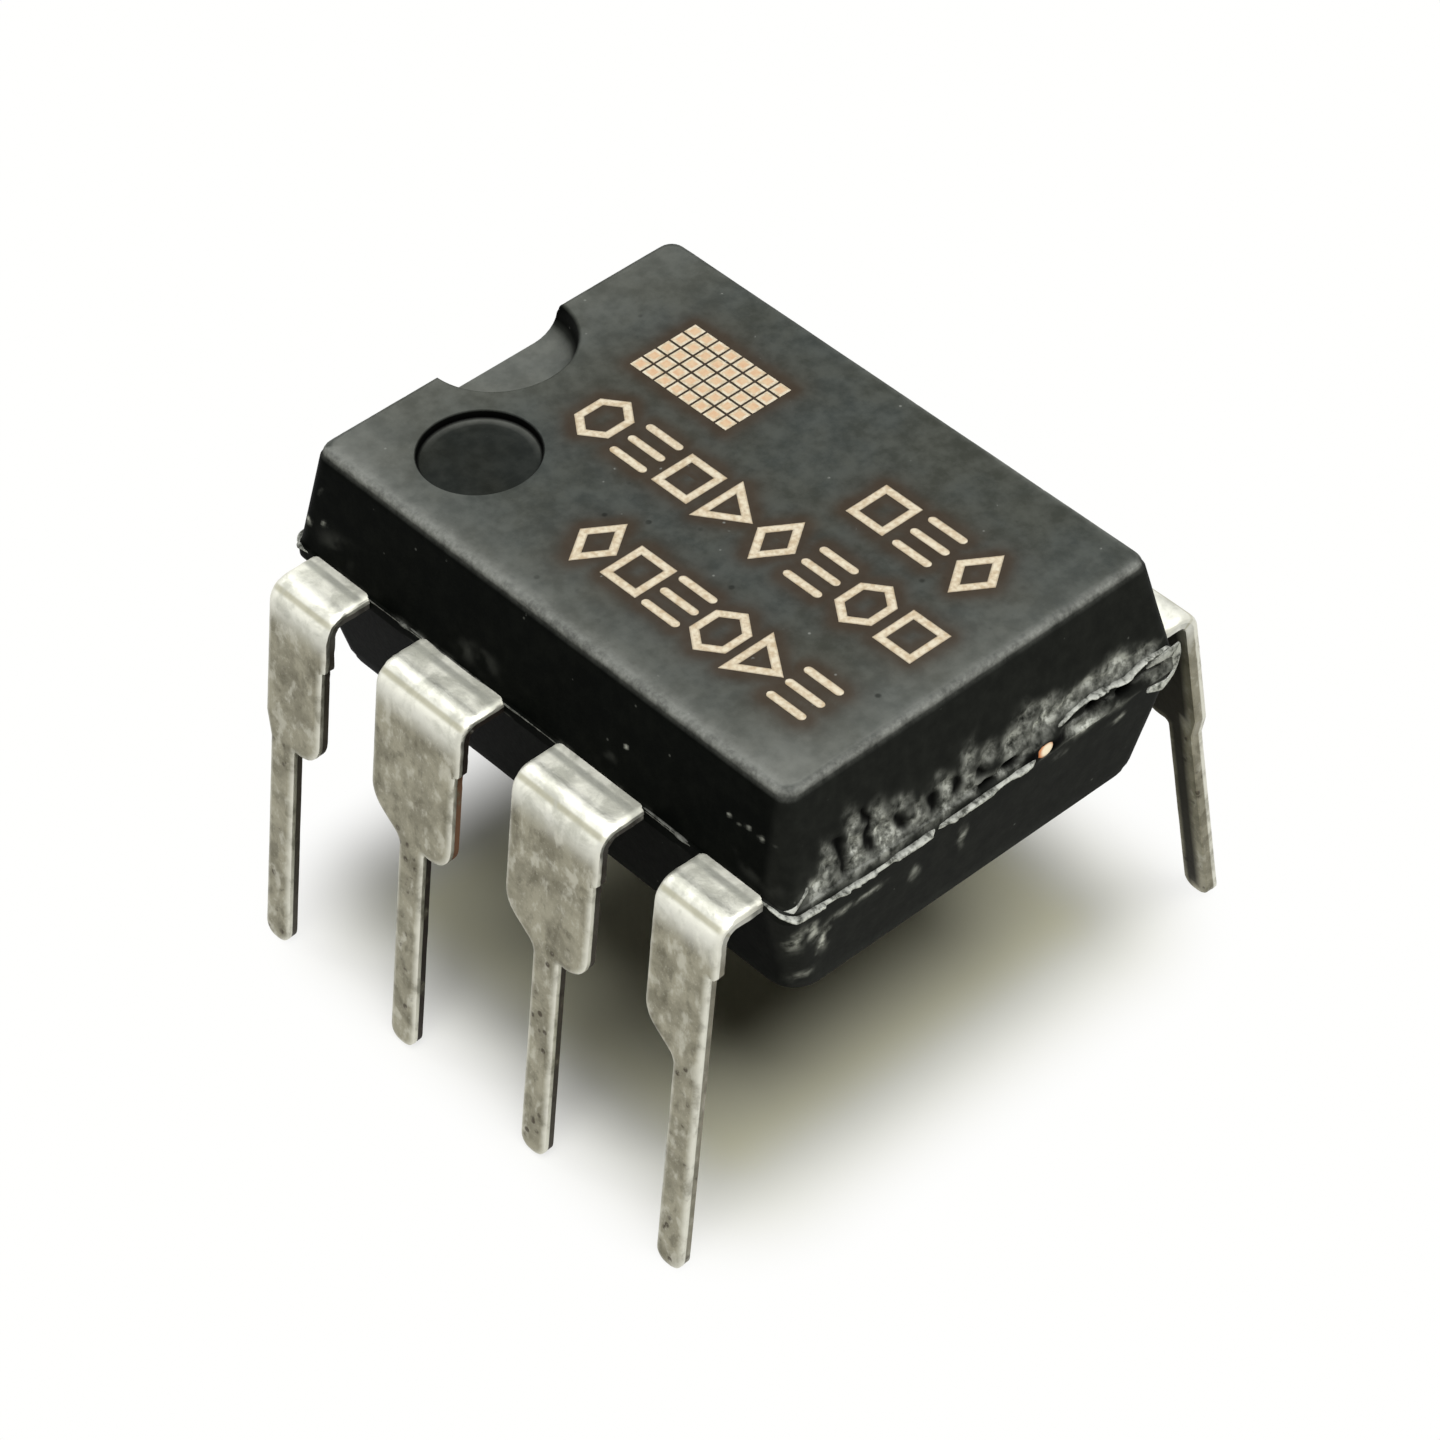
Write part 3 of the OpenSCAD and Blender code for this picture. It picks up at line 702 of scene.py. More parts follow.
def end_break(y, z):
    """Bruised, gouged and pitted resin at the plain end, for y and z in millimetres: how deep each place
    lies, how fresh the break is, and how much painted shade, near black, goes into its pits, gouges and
    hollows and under its crest."""
    crest = along_line(y, LIP_CREST)
    place = np.stack([y, z, 0 * y], 1)
    warped_y = y + 0.22 * (rough_noise(place, 0.2, 3) - 0.5)
    warped_z = z + 0.22 * (rough_noise(place, 0.24, 13) - 0.5)
    bruise = 0 * y
    for at, level, half_w, half_h, strength in BRUISES:
        away = ((warped_y - at) / half_w) ** 2 + ((warped_z - level) / half_h) ** 2
        bruise = bruise + (1 - bruise) * strength * np.exp(-away ** 1.4)
    above = smoothstep(crest - 0.02, crest + 0.04, z) + (z < np.where(y > 1.2, 0.13, -0.02))
    bruise = bruise * np.clip(above, 0, 1)
    gouge = sum(
        np.exp(-((warped_y - at + 0.1 * (z - 0.4)) / GOUGE_HALF_W) ** 2)
        * smoothstep(low - 0.04, low + 0.04, z) * smoothstep(high + 0.06, high - 0.06, z)
        for at, low, high in GOUGES)
    gouge = np.clip(gouge, 0, 1)
    pit_and_painted_shade = sum(soft_oval(y - at, z - level, *PIT_HALF_SIZE) for at, level in PITS)
    from_bar = y - TIE_BAR_SEEN[0]
    window = soft_oval(from_bar, z - TIE_BAR_SEEN[1], 0.105, 0.08)
    cover = soft_box(from_bar, z, 0.28, 0.18)
    slot = soft_box(from_bar - 0.02, z - 0.03, 0.36, 0.08)
    under = smoothstep(1.1, 1.4, y) * smoothstep(-0.02, 0.05, z)
    under = under * (1 - smoothstep(crest - 0.09, crest - 0.03, z))
    clumps = rough_noise(place, 0.16, 5)
    depth = bruise * (0.01 + 0.06 * smoothstep(0.35, 0.7, clumps)) * (z > -0.02)
    depth = depth + 0.06 * gouge + 0.14 * np.clip(pit_and_painted_shade, 0, 1) + 0.03 * under
    depth = depth * (1 - cover) - bar_cover(z) * cover + 0.1 * window
    # Painted shade in the pits, the gouges, the hollows round the tie bar's end and under the crest
    black = pit_and_painted_shade + 0.85 * gouge + window + slot + 0.3 * under * smoothstep(2.7, 2.5, y)
    black = np.clip(black, 0, 1)
    fresh = bruise * (0.25 + 0.75 * smoothstep(0.3, 0.55, clumps))
    return depth, np.clip(fresh, 0, 1) * (1 - black), black


def top_inset(look):
    """How far the draft brings the edges of the top face in from the parting line."""
    return (UPPER_H - HALF_T) * math.tan(look.draft)


def body_levels(look):
    """Heights, insets and corner radii of the body's outlines, from the underside up to the top face."""
    slope = math.tan(look.draft)
    low_inset = (LOWER_H - HALF_T) * slope
    high_inset = top_inset(look)
    edge = look.edge_r
    levels = [
        (-LOWER_H, low_inset + step, max(look.low_corner_r - step + edge, 0.05 * MM))
        for step in np.linspace(2.4 * MM, edge, 5)
    ]
    levels += [
        (-LOWER_H + edge * (1 - math.cos(a)), low_inset + edge * (1 - math.sin(a)), look.low_corner_r)
        for a in np.radians([22.5, 45, 67.5, 90])
    ]
    walls_below = np.concatenate([
        np.arange(-LOWER_H + 1.8 * edge, -1.3 * MM, 0.12 * MM),
        np.arange(-1.3 * MM, -HALF_T - 0.02 * MM, 0.05 * MM)])
    for z in walls_below:
        part = (-z - HALF_T) / (LOWER_H - HALF_T)
        levels.append((z, part * low_inset, look.corner_r + part * (look.low_corner_r - look.corner_r)))
    levels.append((-HALF_T, 0, look.corner_r))
    for z in np.linspace(-HALF_T + 0.01 * MM, HALF_T - 0.01 * MM, 6):
        levels.append((z, -look.band_out, look.corner_r))
    levels.append((HALF_T, 0, look.corner_r))
    walls_above = np.concatenate([
        np.arange(HALF_T + 0.03 * MM, 0.95 * MM, 0.032 * MM),
        np.arange(0.95 * MM, UPPER_H - 1.4 * edge, 0.09 * MM)])
    for z in walls_above:
        levels.append((z, (z - HALF_T) * slope, look.corner_r))
    for a in np.radians([0, 18, 36, 54, 72, 90]):
        levels.append((
            UPPER_H - edge * (1 - math.sin(a)), high_inset + edge * (1 - math.cos(a)), look.corner_r))
    half_w = look.body_w / 2 - high_inset
    inner = [edge + step for step in (0.03 * MM, 0.07 * MM, 0.12 * MM)]
    inner += list(np.linspace(edge + 0.17 * MM, half_w - 0.03 * MM, 50))
    for step in inner:
        levels.append((UPPER_H, high_inset + step, max(look.corner_r - step + edge, 0.03 * MM)))
    return levels


def body_mesh(look):
    """The moulded block with its draft, parting band and worn places, before the notch and recesses.
    The plain end is the +X end, and the second tie bar comes out at the -X end."""
    rings = []
    for z, inset, radius in body_levels(look):
        points, outward = turning(
            look.body_l - 2 * inset, look.body_w - 2 * inset, radius, CORNER_STEPS, WALL_STEPS)
        ring = np.column_stack([points, np.full(len(points), z)])
        ring_mm = ring / MM
        across, up = ring_mm[:, 1], ring_mm[:, 2]
        wall = z < UPPER_H - 0.3 * look.edge_r
        depth = 0.006 * (rough_noise(ring_mm, 0.7, 1) - 0.5) * wall
        if inset < UPPER_H * math.tan(look.draft) + look.edge_r:
            edge_zone = math.exp(-((z - UPPER_H) / (0.09 * MM)) ** 2)
            nick = smoothstep(0.6, 0.82, rough_noise(ring_mm, 0.16, 2))
            depth = depth + 0.008 * nick * edge_zone
        if wall:
            plain_end = np.clip(outward[:, 0], 0, 1) ** 4
            depth = depth + plain_end * end_break(across, up)[0]
        notch_end = np.clip(-outward[:, 0], 0, 1) ** 4
        seat = soft_box(across + TIE_BAR_Y, up, 0.13, 0.09, 4)
        cover = soft_box(across + TIE_BAR_Y, up, 0.22, 0.14)
        depth = depth + notch_end * (0.07 * seat - bar_cover(up) * cover)
        ring[:, :2] -= outward * (depth * MM)[:, None]
        ring[:, 2] += PARTING_Z
        rings.append(ring)
    count = len(rings[0])
    return new_mesh("epoxy_body_look", np.concatenate(rings), skin_faces(len(rings), count))


def body_cutters(look):
    """The notch, the recess beside lead 1 and the two round ejector marks below, as solids."""
    end_x = -look.body_l / 2 + top_inset(look)
    side_y = -look.body_w / 2 + top_inset(look)
    depth = look.notch_depth
    fillet = look.notch_fillet
    foot_r = look.notch_r - (depth - fillet) * math.tan(look.draft)
    notch = [
        (foot_r - fillet * (1 - math.sin(a)), TOP_Z - depth + fillet * (1 - math.cos(a)))
        for a in np.radians([0, 15, 30, 45, 60, 75, 90])
    ]
    notch += [
        (look.notch_r - 0.015 * MM, TOP_Z - 0.05 * MM),
        (look.notch_r + 0.005 * MM, TOP_Z - 0.015 * MM),
        (look.notch_r + 0.035 * MM, TOP_Z + 0.001 * MM),
        (look.notch_r + 0.05 * MM, TOP_Z + 0.2 * MM),
    ]
    dot_r = look.dot_d / 2
    dot = [(dot_r * part, TOP_Z - look.dot_depth) for part in (0.25, 0.45, 0.6, 0.72, 0.82, 0.9)]
    dot += [
        (dot_r - 0.05 * MM, TOP_Z - look.dot_depth),
        (dot_r - 0.015 * MM, TOP_Z - look.dot_depth + 0.02 * MM),
        (dot_r - 0.005 * MM, TOP_Z - 0.02 * MM),
        (dot_r + 0.015 * MM, TOP_Z + 0.001 * MM),
        (dot_r + 0.02 * MM, TOP_Z + 0.2 * MM),
    ]
    dot_at = (end_x + look.dot_from_end, side_y + look.dot_from_side)
    solids = [revolved(notch, (end_x, 0), 96), revolved(dot, dot_at, 96)]
    mark = [
        (EJECTOR_R, BOTTOM_Z - 0.2 * MM),
        (EJECTOR_R, BOTTOM_Z + EJECTOR_DEPTH - 0.01 * MM),
        (EJECTOR_R - 0.02 * MM, BOTTOM_Z + EJECTOR_DEPTH),
    ]
    solids += [revolved(mark, (side * EJECTOR_X, 0), 64) for side in (-1, 1)]
    return solids


def body_fields(mesh, look, marks, lead_look):
    """Stores where the resin is matt, worn, broken, smudged and singed, and where painted highlights,
    painted sheen and painted shade go, for the shader.
    """
    points = mesh_points(mesh)
    mm = (points - (0, 0, PARTING_Z)) / MM
    x, y, z = mm.T
    below_top = (TOP_Z - points[:, 2]) / MM
    end_x = (look.body_l / 2 - top_inset(look)) / MM
    side_y = (look.body_w / 2 - top_inset(look)) / MM
    to_end = end_x - np.abs(x)
    to_side = side_y - np.abs(y)
    inside = np.minimum(to_end, to_side)

    at_notch = (np.hypot(x + end_x, y) < look.notch_r / MM + 0.02) & (x > -end_x - 0.13)
    deep = look.notch_depth / MM
    notch_floor = at_notch & (below_top > 0.06) & (below_top < deep + 0.005)
    # The notch floor darkens through its fillet towards the wall: painted shade
    floor_tone = smoothstep(deep - 0.2, deep - 0.06, below_top)
    dot_x = x + end_x - look.dot_from_end / MM
    dot_y = y + side_y - look.dot_from_side / MM
    from_dot = np.hypot(dot_x, dot_y)
    dot_r = look.dot_d / 2 / MM
    sunk = below_top < 0.2
    dot_floor = sunk & (from_dot < dot_r) & (below_top > 0.9 * look.dot_depth / MM)
    dot_wall = sunk & (from_dot < dot_r + 0.01) & (below_top > 0.01) & ~dot_floor
    matt = smoothstep(0.05, 0.0, below_top) * smoothstep(0.0, 0.08, inside)
    set_field(mesh, "top", np.where(notch_floor, floor_tone, np.where(dot_floor, 0.3, matt)))

    # Worn top edges, with a painted highlight on their round: wider on the near side and strongest
    # towards the near corner
    uneven = 1 + 0.5 * (rough_noise(mm, 0.4, 8) - 0.5)
    width = np.where(to_side < to_end, 0.11 - 0.05 * np.sign(y), 0.075 + 0.01 * np.sign(x))
    corner = np.hypot(x - end_x, y + side_y)
    wear_and_highlight = np.exp(-(np.clip(inside, 0, None) / (width * uneven)) ** 2)
    wear_and_highlight = wear_and_highlight * smoothstep(0.13, 0.03, below_top) * (0.55 + 0.45 * smoothstep(-4.4, -1.0, x - y))
    wear_and_highlight = np.maximum(wear_and_highlight, 0.8 * np.exp(-(corner / 0.24) ** 2) * smoothstep(0.16, 0.05, below_top))
    set_field(mesh, "wear_and_highlight", wear_and_highlight * ~at_notch)

    _, fresh, black = end_break(y, z)
    half_l = look.body_l / 2 / MM
    at_end = smoothstep(half_l - 0.5, half_l - 0.34, x)
    scar = at_end * fresh
    for *chip, reach in CHIPS:
        scar += np.exp(-(((mm - chip) ** 2).sum(1) / reach ** 2) ** 2)
    band = np.exp(-((np.abs(z) - 0.1) / 0.03) ** 2) * smoothstep(0.5, 0.8, rough_noise(mm, 0.35, 9))
    set_field(mesh, "scar", np.clip(scar + 0.2 * band, 0, 1))
    # Painted shade on the broken end and on the wall of the recess
    set_field(mesh, "pit_and_painted_shade", np.maximum(at_end * black, 0.9 * dot_wall))

    # Pale dust and painted sheen on the top face, lighter towards the near side, both ends and the near
    # corner; painted light on the notch floor, which the notch shades; a painted reflection on the far
    # part of the recess floor; and smudges of dust on the walls
    dust_and_sheen = 0.3 * np.exp(-((y + side_y) / 0.75) ** 2) + 0.26 * np.exp(-((x + end_x) / 1.1) ** 2)
    dust_and_sheen = dust_and_sheen + 0.34 * np.exp(-((end_x - x) / 0.85) ** 2) * smoothstep(3.6, -0.6, y)
    dust_and_sheen = np.maximum(dust_and_sheen, 0.68 * np.exp(-(corner / 1.3) ** 2)) + 0.16 * at_notch
    dust_and_sheen = dust_and_sheen * np.where(notch_floor, floor_tone, below_top < 0.004)
    far_side = np.clip((dot_y - 0.85 * dot_x) / 0.9, 0, 1)
    dust_and_sheen = dust_and_sheen + dot_floor * 0.45 * far_side * smoothstep(0.62, 0.76, from_dot)
    dust_and_sheen = dust_and_sheen + 0.05 * at_end * (below_top > 0.12)
    blotch = smoothstep(0.45, 0.7, rough_noise(mm, 0.3, 12))
    for k in range(1, LEADS_PER_SIDE + 1):
        for side in (-1, 1):
            spot = soft_oval(x - lead_x(k, lead_look) / MM + 0.18 * side, z - 0.42, 0.42, 0.2)
            dust_and_sheen = dust_and_sheen + 0.14 * blotch * spot * (side * y > 2.5)
    set_field(mesh, "dust_and_sheen", dust_and_sheen)
    set_field(mesh, "singe", singed(mm, below_top, marks))


# Mould flash

# Section of the lip from its lower root round to its upper one, as shares of the reach and half thickness
LIP_SECTION = [(0, -1), (0.55, -0.8), (1, -0.3), (1, 0.3), (0.6, 0.8), (0, 1)]
# Steps along the four sides, in the same order as for the body
LIP_STEPS = (300, 260, 330, 360)
# How far its root lies inside the band
LIP_SUNK = 0.03 * MM
# Flakes that peeled off at the corners of the plain end: the half width in millimetres, and the points
# that each runs through, as (x past the end, y, z from the parting plane)
FLAKES = [
    (0.07, [(-0.02, 2.7, 0.2), (0.03, 3.0, 0.26), (0.0, 3.15, 0.2), (0.02, 3.17, 0.02),
            (0.03, 3.1, -0.14), (0.04, 2.92, -0.21), (0.01, 2.68, -0.17)]),
    (0.036, [(-0.03, -2.88, 0.31), (-0.02, -2.91, 0.24), (-0.01, -2.99, 0.17), (-0.02, -3.1, 0.11),
             (-0.1, -3.19, 0.08)]),
]
# Section of a flake, as shares of its half thickness and its half width, and that half thickness
FLAKE_SECTION = [(-0.6, -1), (0.5, -1), (1, 0), (0.5, 1), (-0.6, 1), (-1, 0)]
FLAKE_HALF_T = 0.02


def lip_ribbon(stations, roots, reaches, lifts, outward, thickness):
    """Points of a thin torn lip, one section after another, and how torn each of them is."""
    points = []
    torn = []
    for at, root, reach, lift, out, thick in zip(stations, roots, reaches, lifts, outward, thickness):
        for part, side in LIP_SECTION:
            place = at + out * (part * reach)
            points.append((place[0], place[1], root + lift * part ** 1.5 + side * thick / 2))
            torn.append(0.25 + 0.75 * part)
    return np.array(points), np.array(torn)


def flash_mesh(look):
    """The lip all round the parting line, which rises in a torn crest at the plain end."""
    out = look.band_out - LIP_SUNK
    points, outward = turning(look.body_l + 2 * out, look.body_w + 2 * out, look.corner_r, 10, LIP_STEPS)
    mm = np.column_stack([points / MM, np.zeros(len(points))])
    x, y, _ = mm.T
    ragged = rough_noise(mm, 0.22, 21, 4)
    slow = value_noise(mm, 0.9, 22)
    at_end = np.abs(outward[:, 0]) ** 3
    plain = np.clip(outward[:, 0], 0, 1) ** 3
    notched = np.clip(-outward[:, 0], 0, 1)
    near_corner = soft_oval(x - 4.45, y + 3.15, 0.24, 0.24)
    far_corner = soft_oval(x + 4.5, y + 3.15, 0.3, 0.3)
    reach = 0.03 + 0.03 * smoothstep(0.45, 0.7, ragged) * slow
    reach = reach + at_end * (0.03 + 0.05 * smoothstep(0.4, 0.75, ragged))
    reach = reach + notched * (0.03 + 0.08 * smoothstep(0.45, 0.6, ragged)) + 0.04 * near_corner
    gap = plain * (np.exp(-((y - TIE_BAR_Y) / 0.26) ** 4) + 0.85 * np.exp(-((y + 0.86) / 0.05) ** 2))
    gap = gap + notched * np.exp(-((y + TIE_BAR_Y) / 0.24) ** 4)
    reach = reach * (1 - 0.95 * np.clip(gap, 0, 1))
    crest = along_line(y, LIP_CREST) + 0.03 * (ragged - 0.5)
    root = (1 - plain) * (0.072 + 0.014 * (slow - 0.5)) + plain * crest
    on_wall = plain * smoothstep(0.1, 0.13, crest)
    stations = points - outward * ((on_wall * (0.03 + 0.176 * np.clip(crest - 0.1, 0, 1))) * MM)[:, None]
    lift = 0.05 * (rough_noise(mm, 0.4, 23) - 0.35) * at_end
    thick = (0.04 + 0.02 * slow) * (1 + 0.8 * plain * (1 - on_wall))
    points, torn = lip_ribbon(
        stations, PARTING_Z + root * MM, reach * MM, lift * MM, outward, thick * MM)
    low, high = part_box("epoxy_body")
    points[:, :2] = np.clip(points[:, :2], low[:2], high[:2])
    count = len(stations)
    width = len(LIP_SECTION)
    faces = [
        (i * width + j, ((i + 1) % count) * width + j,
         ((i + 1) % count) * width + (j + 1) % width, i * width + (j + 1) % width)
        for i in range(count)
        for j in range(width)
    ]
    mesh = new_mesh("mould_flash", points, faces)
    bright = np.clip(0.35 + 0.65 * np.abs(outward[:, 0]) + near_corner + far_corner, 0, 1)
    set_field(mesh, "torn", torn * np.repeat(bright, width))
    return mesh


def curl_mesh(look):
    """Flakes of flash that peeled off at the two corners of the plain end, each a thin bent ribbon."""
    points = []
    faces = []
    torn = []
    for number, (half_w, flake) in enumerate(FLAKES):
        knots = np.array(flake) + (look.body_l / 2 / MM, 0, 0)
        where = np.linspace(0, len(knots) - 1, 12 * len(knots))
        line = np.column_stack([np.interp(where, range(len(knots)), knots[:, i]) for i in range(3)])
        for _ in range(6):
            line[1:-1] = (line[:-2] + 2 * line[1:-1] + line[2:]) / 4
        first = len(points)
        for i, spot in enumerate(line):
            part = i / (len(line) - 1)
            width = half_w * math.sin(math.pi * (0.12 + 0.8 * part)) + 0.012
            wave = 0.012 * math.sin(9 * part + number)
            for dx, dz in FLAKE_SECTION:
                points.append((
                    (spot[0] + dx * FLAKE_HALF_T + wave) * MM, (spot[1] + 0.8 * dz * width) * MM,
                    PARTING_Z + (spot[2] + dz * width) * MM))
                torn.append(0.6 + 0.4 * part)
        faces += [tuple(first + i for i in face) for face in skin_faces(len(line), len(FLAKE_SECTION))]
    points = np.array(points)
    points[:, 0] = np.minimum(points[:, 0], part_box("epoxy_body")[1].x)
    mesh = new_mesh("flash_curls", points, faces)
    set_field(mesh, "torn", torn)
    return mesh


# Printed marks

# Each symbol is drawn in a unit square, as lines with whether each of them is closed
SYMBOLS = {
    "square": [([(0, 0.12), (1, 0.12), (1, 0.88), (0, 0.88)], True)],
    "diamond": [([(0.5, 0), (1, 0.5), (0.5, 1), (0, 0.5)], True)],
    "hexagon": [([(0.5, 0), (1, 0.25), (1, 0.75), (0.5, 1), (0, 0.75), (0, 0.25)], True)],
    "arrow": [([(0.05, 0.05), (1, 0.5), (0.05, 0.95)], True)],
    "bars": [([(0, 0.1), (1, 0.1)], False), ([(0, 0.5), (1, 0.5)], False), ([(0, 0.9), (1, 0.9)], False)],
}
# Rows of symbols: where the row starts and ends along the body, its lower edge, and what it holds
ROWS = [
    (1.2, 3.3, 0.87, ["square", "bars", "diamond"]),
    (-2.42, 3.56, -0.43, ["hexagon", "bars", "square", "arrow", "diamond", "bars", "hexagon", "square"]),
    (-0.76, 3.4, -1.98, ["diamond", "square", "bars", "hexagon", "arrow", "bars"]),
]
# Block of filled cells: its corner, the pitch and size of a cell, and how many lie along and across
BLOCK_AT = (-2.74, 0.84)
CELL_PITCH = 0.225
CELL_SIZE = 0.19
BLOCK_CELLS = (8, 5)
# Section of a stroke, as (left, middle or right, share of the height, share of the rim)
STROKE_SECTION = [(0, 0, 1), (0, 0.35, 1), (1, 1, 0), (2, 0.35, 1), (2, 0, 1)]
# Rings of a cell, as (half width as a share of the cell's size, share of the height, share of the fill)
CELL_RINGS = [(0.5, 0, 0), (0.5, 0.6, 0), (0.36, 1, 0), (0.24, 1, 1)]
# Distance from the marks, in millimetres, that is given to places off the top face
NO_MARK = 9.0


def symbol_lines(marks):
    """Every stroke of the rows as (points in millimetres, closed)."""
    width, height = marks.symbol_w / MM, marks.symbol_h / MM
    lines = []
    for start, end, base, names in ROWS:
        step = (end - start - width) / (len(names) - 1)
        for i, name in enumerate(names):
            for points, closed in SYMBOLS[name]:
                spots = [(start + i * step + x * width, base + y * height) for x, y in points]
                lines.append((spots, closed))
    return lines


def block_cells():
    """Middles of the block's filled cells, in millimetres."""
    across, up = BLOCK_CELLS
    return [
        (BLOCK_AT[0] + CELL_PITCH * (i + 0.5), BLOCK_AT[1] + CELL_PITCH * (j + 0.5))
        for i in range(across)
        for j in range(up)
    ]


def singed(mm, below_top, marks):
    """How browned each place of the top face is, from its distance to the marks."""
    near = np.full(len(mm), NO_MARK)
    flat = below_top < 0.02
    xy = mm[flat, :2]
    gap = np.full(len(xy), NO_MARK)
    for points, closed in symbol_lines(marks):
        for a, b in zip(points, points[1:] + points[:1] if closed else points[1:]):
            gap = np.minimum(gap, gap_to_line(xy, np.array(a), np.array(b)))
    gap -= marks.stroke_w / MM / 2
    for middle in block_cells():
        box_gap = np.linalg.norm(np.clip(np.abs(xy - middle) - CELL_SIZE / 2, 0, None), axis=1)
        gap = np.minimum(gap, box_gap)
    near[flat] = gap
    near = np.clip(near, 0, None) / (marks.halo / MM)
    uneven = 0.7 + 0.6 * rough_noise(mm, 0.3, 31)
    return (0.65 * np.exp(-near ** 2) + 0.35 * np.exp(-(near / 3) ** 2)) * uneven


def stroke_strip(points, closed, width):
    """Left edge, middle and right edge of a line, with mitred corners or, at open ends, round ends."""
    line = [np.array(p, float) for p in points]
    count = len(line)
    rows = []
    for i, p in enumerate(line):
        before = line[i - 1] if closed or i > 0 else None
        after = line[(i + 1) % count] if closed or i < count - 1 else None
        sides = []
        for a, b in ((before, p), (p, after)):
            if a is not None and b is not None:
                run = (b - a) / np.linalg.norm(b - a)
                sides.append(np.array([-run[1], run[0]]))
        mitre = sides[0] if len(sides) == 1 else (sides[0] + sides[1]) / (1 + sides[0] @ sides[1])
        rows.append((p + mitre * width / 2, p, p - mitre * width / 2))
    if not closed:
        first = round_end(line[0], line[1], width)[::-1]
        last = round_end(line[-1], line[-2], width, -1)
        rows = first + rows[1:-1] + last
    return rows


def round_end(tip, inner, width, turn=1):
    """Rows of points that narrow to a round end at the tip."""
    run = (tip - inner) / np.linalg.norm(tip - inner)
    side = turn * np.array([run[1], -run[0]])
    rows = []
    for a in np.radians([0, 25, 50, 70, 85]):
        middle = tip + run * (width / 2 * math.sin(a))
        half = side * width / 2 * math.cos(a)
        rows.append((middle + half, middle, middle - half))
    return rows


def marks_mesh(marks):
    """All the marks as thin raised shapes on the top face."""
    points = []
    faces = []
    rim = []
    fill = []
    for line, closed in symbol_lines(marks):
        rows = stroke_strip(line, closed, marks.stroke_w / MM)
        if closed:
            rows = rows + [rows[0]]
            dense = []
            for a, b in zip(rows, rows[1:]):
                for part in np.linspace(0, 1, 6)[:-1]:
                    dense.append(tuple(p + (q - p) * part for p, q in zip(a, b)))
            rows = dense + [rows[-1]]
        first = len(points)
        for row in rows:
            for which, level, edge in STROKE_SECTION:
                points.append((row[which][0] * MM, row[which][1] * MM, TOP_Z + level * MARK_T))
                rim.append(edge)
                fill.append(0)
        width = len(STROKE_SECTION)
        for i in range(len(rows) - 1):
            for j in range(width - 1):
                a = first + width * i + j
                faces.append((a, a + width, a + width + 1, a + 1))
    for x, y in block_cells():
        first = len(points)
        for half, level, inner in CELL_RINGS:
            reach = half * CELL_SIZE
            for dx, dy in ((-1, -1), (1, -1), (1, 1), (-1, 1)):
                points.append(((x + dx * reach) * MM, (y + dy * reach) * MM, TOP_Z + level * MARK_T))
                rim.append(0)
                fill.append(inner)
        faces += [tuple(first + i for i in face) for face in skin_faces(len(CELL_RINGS), 4)[1:]]
    mesh = new_mesh("marks", points, faces)
    set_field(mesh, "rim", rim)
    set_field(mesh, "fill", fill)
    return mesh


# Leads

# Distance from the middle line at which a shoulder narrows to its finger inside the body, and the width
# of a finger
NECK_Y = 2.45 * MM
FINGER_W = 0.5 * MM
# Where the middle fingers end: how far they lean in, and their distance from the middle line
MIDDLE_END = (0.27 * MM, 1.43 * MM)
# Where the corner fingers end: how far in they reach along the body, and each one's distance from the
# middle line
CORNER_END_X = 1.83 * MM
CORNER_END_Y = {1: 1.4 * MM, LEADS_PER_SIDE: 0.35 * MM}
# Radii of the legs' tips, of the shoulders' round lobes, of the corners that stamping left nearly sharp,
# and of the inner and outer corner of the step at the trimmed tie
TIP_R = 0.19 * MM
LOBE_R = 0.36 * MM
SHARP_R = 0.05 * MM
TRIM_R = 0.02 * MM
TRIM_EDGE_R = 0.06 * MM
# Greatest distance between points of a lead's outline, and between the cuts that let its blank bend
OUTLINE_STEP = 0.075 * MM
CUT_STEP = 0.11 * MM
# How much of the dark broken zone shows on the edges of each lead
BROKEN_EDGE = (0.85, 1, 0.9, 0.3, 0.1, 0.9, 0.9, 0.3)
# The burr on the last lead of a row, as (across, along) in millimetres
BURR_AT = (0.33, 0.52)


def place_in_row(k):
    """Number of a lead in its row, from 1."""
    return (k - 1) % LEADS_PER_SIDE + 1


def lead_x(k, look):
    """Place along the body of a near lead, or of a far one before its row is turned half round."""
    return (place_in_row(k) - (LEADS_PER_SIDE + 1) / 2) * look.pitch


def bend_sizes(look):
    """Radius of the sheet's middle in the bend, the bend's angle, and how far out the bend starts."""
    return look.bend_r + HALF_T, math.pi / 2 - look.splay, look.row_w / 2 - look.bend_r - FRAME_T


def arc_points(before, corner, after, radius, steps=7):
    """The round corner of an outline."""
    back = (before - corner) / np.linalg.norm(before - corner)
    on = (after - corner) / np.linalg.norm(after - corner)
    half = math.acos(max(-1.0, min(1.0, back @ on))) / 2
    centre = corner + (back + on) / np.linalg.norm(back + on) * radius / math.sin(half)
    first = corner + back * radius / math.tan(half) - centre
    turn = -math.copysign(math.pi - 2 * half, back[0] * on[1] - back[1] * on[0])
    points = []
    for i in range(steps + 1):
        c, s = math.cos(turn * i / steps), math.sin(turn * i / steps)
        points.append(centre + np.array([first[0] * c - first[1] * s, first[0] * s + first[1] * c]))
    return points


